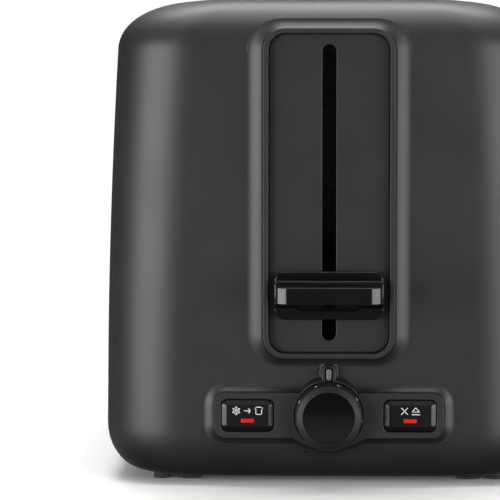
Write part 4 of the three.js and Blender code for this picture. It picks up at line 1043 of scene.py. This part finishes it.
for step in range(12):
    share = math.sin(math.pi / 2 * (1 - step / 12))
    dome.append((cap_radius * share, dial_face - 0.45 * mm + 0.9 * mm * (1 - share ** 2)))
cap = turned("dial_cap", dome, polished_black, (0, control_z))
fit(cap, "browning_dial", "gloss_black")

white_print = surfaced("white_pad_print", "#c9c9c7", "#d6d6d4", 0.5, 0.3, 0.002)
first_turn, turn_between = 191.8, 39.6
number_out = 4.6 * mm
slope = math.atan2(dial_radius - shoulder_radius, skirt_top - control_proud)
number_radius = dial_radius - number_out * math.tan(slope) + 0.02 * mm
for number in range(1, 7):
    angle = math.radians(first_turn - turn_between * (number - 1))
    text = bpy.data.curves.new(f"digit_{number}", "FONT")
    text.body, text.size, text.extrude = str(number), 3 * mm, 0.03 * mm
    text.align_x, text.align_y = "CENTER", "CENTER"
    digit = bpy.data.objects.new(f"dial_number_{number}", text)
    bpy.context.collection.objects.link(digit)
    graph = bpy.context.evaluated_depsgraph_get()
    mesh = bpy.data.meshes.new_from_object(digit.evaluated_get(graph))
    bpy.data.objects.remove(digit)
    outwards = Vector((math.cos(angle), 0, math.sin(angle)))
    normal = outwards * math.cos(slope) + Vector((0, -math.sin(slope), 0))
    across = outwards.cross(Vector((0, 1, 0)))
    turn = Matrix((across, normal.cross(across), normal)).transposed().to_4x4()
    place = Vector((0, face_y - control_proud - number_out, control_z)) + outwards * number_radius
    mesh.transform(Matrix.Translation(place) @ turn)
    mesh.materials.clear()
    mesh.materials.append(white_print)
    digit = bpy.data.objects.new(f"dial_number_{number}", mesh)
    bpy.context.collection.objects.link(digit)
    fit(digit, "browning_dial", "grey_marking")

# ------------------------------------------------------------------ buttons and their lights
# Two push buttons with wide bevels, moulded in gloss black. Each carries a printed sign and a clear
# red lens, lit from behind.

button_face = control_proud + 0.8 * mm
light_z = control_z - 2 * mm
red_lens, tree, shader = new_material("lit_red_lens", "#a01512", 0.25)
where = add_node(tree, "ShaderNodeTexCoord").outputs["Object"]
glow = add_node(tree, "ShaderNodeTexNoise", {"Vector": where, "Scale": 300.0})
reds = {"Factor": glow, "A": linear("#a80f0c"), "B": linear("#c41c15")}
warm = add_node(tree, "ShaderNodeMix", reds, data_type="RGBA")
tree.links.new(warm.outputs["Result"], shader.inputs["Base Color"])
tree.links.new(warm.outputs["Result"], shader.inputs["Emission Color"])
shader.inputs["Emission Strength"].default_value = 0.18
bump = add_node(tree, "ShaderNodeBump", {"Height": glow, "Distance": 0.01 * mm})
tree.links.new(bump.outputs[0], shader.inputs["Normal"])


def button_cap(name, x):
    """A cap with a rounded outer edge, a hollow bevel and a flat face."""
    rings, play, least_radius = [], 0.35 * mm, 0.5 * mm
    levels = [(0, 6.8), (0, 1.25), (0.06, 1.1), (0.2, 0.97), (1.0, 0.54), (1.75, 0.12), (1.87, 0.04)]
    for inset, below in levels + [(2, 0), (2.06, 0)]:
        shrink = play + inset * mm
        radius = max(button_radius - shrink, least_radius)
        points = outline(button_half[0] - shrink, button_half[1] - shrink, radius, (x, control_z), 8)
        rings.append(on_front(points, button_face - below * mm))
    return loft(name, rings, satin_gloss, sharp=25)


def strokes(name, lines, width, x, z):
    """A printed sign: each line of a list, in millimetres about a centre, drawn as a thin strip."""
    vertices, faces = [], []
    for start, end in lines:
        start, end = Vector(start), Vector(end)
        along = (end - start).normalized() * width / 2
        aside = Vector((-along.y, along.x))
        corners = [start - along - aside, end + along - aside, end + along + aside, start - along + aside]
        first = len(vertices)
        for out in (button_face - 0.02 * mm, button_face + 0.03 * mm):
            vertices += [(x + p.x * mm, face_y - out, z + p.y * mm) for p in corners]
        faces += [tuple(first + i for i in face) for face in
                  ((0, 3, 2, 1), (4, 5, 6, 7), (0, 1, 5, 4), (1, 2, 6, 5), (2, 3, 7, 6), (3, 0, 4, 7))]
    return mesh_piece(name, vertices, faces, white_print)


def snowflake(x):
    lines = []
    for arm in range(6):
        angle = math.radians(60 * arm + 30)
        tip = Vector((x + 1.6 * math.cos(angle), 1.6 * math.sin(angle)))
        lines.append(((x, 0), tip))
        fork = Vector((x + 0.95 * math.cos(angle), 0.95 * math.sin(angle)))
        for side in (-1, 1):
            turned_by = angle + side * math.radians(55)
            lines.append((fork, fork + Vector((math.cos(turned_by), math.sin(turned_by))) * 0.4))
    return lines


def polygon(points):
    """The lines round a closed shape."""
    return [(points[i - 1], points[i]) for i in range(len(points))]


def slice_sign(x):
    return polygon([(x - 1.2, -1.5), (x + 1.2, -1.5), (x + 1.2, 0.5), (x + 1.55, 1), (x + 1.2, 1.5),
                    (x - 1.2, 1.5), (x - 1.55, 1), (x - 1.2, 0.5)])


def arrow_sign(x):
    return [((x - 1.3, 0), (x + 1.3, 0)), ((x + 0.5, 0.8), (x + 1.3, 0)), ((x + 0.5, -0.8), (x + 1.3, 0))]


def eject_sign(x):
    return polygon([(x - 1.5, -0.3), (x + 1.5, -0.3), (x, 1.5)]) + [((x - 1.5, -1.4), (x + 1.5, -1.4))]


def cross_sign(x):
    return [((x - 1.2, -1.3), (x + 1.2, 1.3)), ((x - 1.2, 1.3), (x + 1.2, -1.3))]


satin_gloss = surfaced(
    "polished_button_abs", "#0f0f10", "#141415", 0.24, 1, 0.002, spread=0.03, specular=0.34
)
signs = {
    "defrost": snowflake(-4.6) + arrow_sign(0) + slice_sign(4.6),
    "stop": cross_sign(-2.3) + eject_sign(2.3),
}
lens_edge = [(0, -2.7), (0, -0.15), (0.1, -0.02), (0.3, 0.04)]
for name, side in (("defrost", -1), ("stop", 1)):
    x = side * button_x
    cap = button_cap(f"bevelled_{name}_button", x)
    window = outline(2.75 * mm, 0.9 * mm, 0.45 * mm, (x, light_z), 4)
    window = [on_front(window, button_face + out * mm) for out in (-2.9, 2)]
    shape(cap, "DIFFERENCE", loft("window", window, satin_gloss), sharp=25)
    stem_back = face_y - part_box(f"{name}_button")[1].y
    stem = turned("stem", [(2.2 * mm, stem_back), (2.2 * mm, -1 * mm)], satin_gloss, (x, control_z), 24)
    flange = outline(button_half[0] - 0.4 * mm, button_half[1] - 0.4 * mm, 2 * mm, (x, control_z))
    flange = loft("flange", [on_front(flange, out * mm) for out in (-3.5, -1.9)], satin_gloss)
    shape(cap, "UNION", flange, stem, sharp=25)
    fit(cap, f"{name}_button", "button_black", f"{name}_button")
    lens_levels = [(inset * mm, button_face + out * mm) for inset, out in lens_edge]
    lens_rings = inset_rings(on_front, (2.7 * mm, 0.85 * mm), 0.42 * mm, (x, light_z), lens_levels, 6)
    lens = loft(f"lit_{name}_lens", lens_rings, red_lens)
    fit(lens, f"{name}_button", "red_lens", f"{name}_light")
    sign = strokes(f"{name}_sign", signs[name], 0.34, x, control_z + 2.1 * mm)
    fit(sign, f"{name}_button", "grey_marking")

# ------------------------------------------------------------------ circuit board and switches
# A glass-fibre board behind the controls, with the buttons' switches and the browning control on its
# front and the mains contacts on its back.

green_board = surfaced("solder_masked_glass_board", "#1f4a29", "#2d6138", 0.35, 1.2, 0.02)
switch_black = surfaced("nylon_switch_body", "#19191a", "#232324", 0.5, 0.6, 0.01)
contact_nylon = surfaced("cream_contact_nylon", "#a39c88", "#b5ae9a", 0.5, 0.6, 0.01)
tinned = surfaced("tinned_component_cans", "#8d9093", "#a9acaf", 0.3, 0.8, 0.005, 1.0)
dress(switch_black, "browning_control", "defrost_switch", "stop_switch")
dress(contact_nylon, "mains_contacts")
low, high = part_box("circuit_board")
board_points = outline((high.x - low.x) / 2, (high.z - low.z) / 2, 1.5 * mm, (0, (low.z + high.z) / 2), 5)
board_front, board_back = face_y - low.y, face_y - high.y
board_rings = [on_front(board_points, board_front), on_front(board_points, board_back)]
board = loft("etched_circuit_board", board_rings, green_board)
drill = [(1.6 * mm, board_back - 1 * mm), (1.6 * mm, board_front + 1 * mm)]
holes = [turned("hole", drill, green_board, (x * mm, z * mm), 20) for x in (-47, 47) for z in (16, 50)]
fit(shape(board, "DIFFERENCE", *holes), "toaster", "board_green", "circuit_board")
can_sizes = [(-38, 46, 4, 11), (-27, 46, 3, 8), (-40, 24, 2.5, 7), (14, 20, 3, 7)]
for i, (x, z, radius, tall) in enumerate(can_sizes):
    profile = [(radius, 0.02), (radius, tall - 0.6), (radius - 0.2, tall - 0.2), (radius - 0.7, tall)]
    profile = [(r * mm, board_back - t * mm) for r, t in profile]
    fit(turned(f"can_{i}", profile, tinned, (x * mm, z * mm), 24), "toaster", "core_steel")

# ------------------------------------------------------------------ crumb tray
# A folded tray of plain steel that slides out at the back on its black front, which closes the
# housing's opening and has a lip to pull.

tray_steel = surfaced("rolled_tray_steel", "#8b8d90", "#a3a5a8", 0.36, 1.2, 0.008, 1.0, along=(1, 0.1, 1))
low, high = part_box("crumb_tray")
mid, half, sheet = (low + high) / 2, (high - low) / 2, 0.8 * mm


def tray_ring(inset, z):
    """The tray's outline, drawn in by an inset, at a height."""
    return level(outline(half.x - inset, half.y - inset, 3 * mm, (mid.x, mid.y), 6), z)


tray_rings = [tray_ring(inset * mm, low.z + up * mm) for inset, up in ((0.6, 0), (0.15, 0.2), (0, 0.7))]
tray_rings += [tray_ring(0, high.z - 0.2 * mm), tray_ring(0.15 * mm, high.z), tray_ring(0.65 * mm, high.z)]
tray_rings += [tray_ring(sheet, high.z - 0.2 * mm), tray_ring(sheet, low.z + 1.4 * mm)]
tray_rings += [tray_ring(sheet + 0.6 * mm, low.z + sheet)]
fit(loft("folded_crumb_tray", tray_rings, tray_steel), "crumb_tray", "tray_steel", "crumb_tray")
dress(plastic, "crumb_tray_handle")

# ------------------------------------------------------------------ cord gland
# A bush of soft black PVC through the rear wall, with a flange inside it, a collar outside and a
# ribbed nose that tapers towards the cord.

soft_pvc = surfaced("soft_black_pvc", "#101011", "#181819", 0.5, 0.8, 0.01)
profile = [(3.4, -5.5), (9, -5.5), (9, -2.9), (7, -2.9)]
profile += [(7, 0.3), (9.6, 0.3), (10, 0.7), (10, 2.4), (9.5, 3)]
profile += [(7.1, 3.2), (6.6, 4), (6.4, 5.4), (6.0, 5.5), (6.0, 6.3), (6.2, 6.4), (5.9, 7.6), (5.6, 7.7)]
profile += [(5.6, 8.5), (5.7, 8.6), (5.3, 9.9), (3.4, 9.9)]
profile = [(r * mm, -shell_length - t * mm) for r, t in profile]
rings = [on_front(circle(radius, (gland_x, gland_z), 48), out) for radius, out in profile]
bush = loft("pvc_cord_gland", rings, soft_pvc, hollow=True)
fit(bush, "toaster", "rubber", "cord_gland")
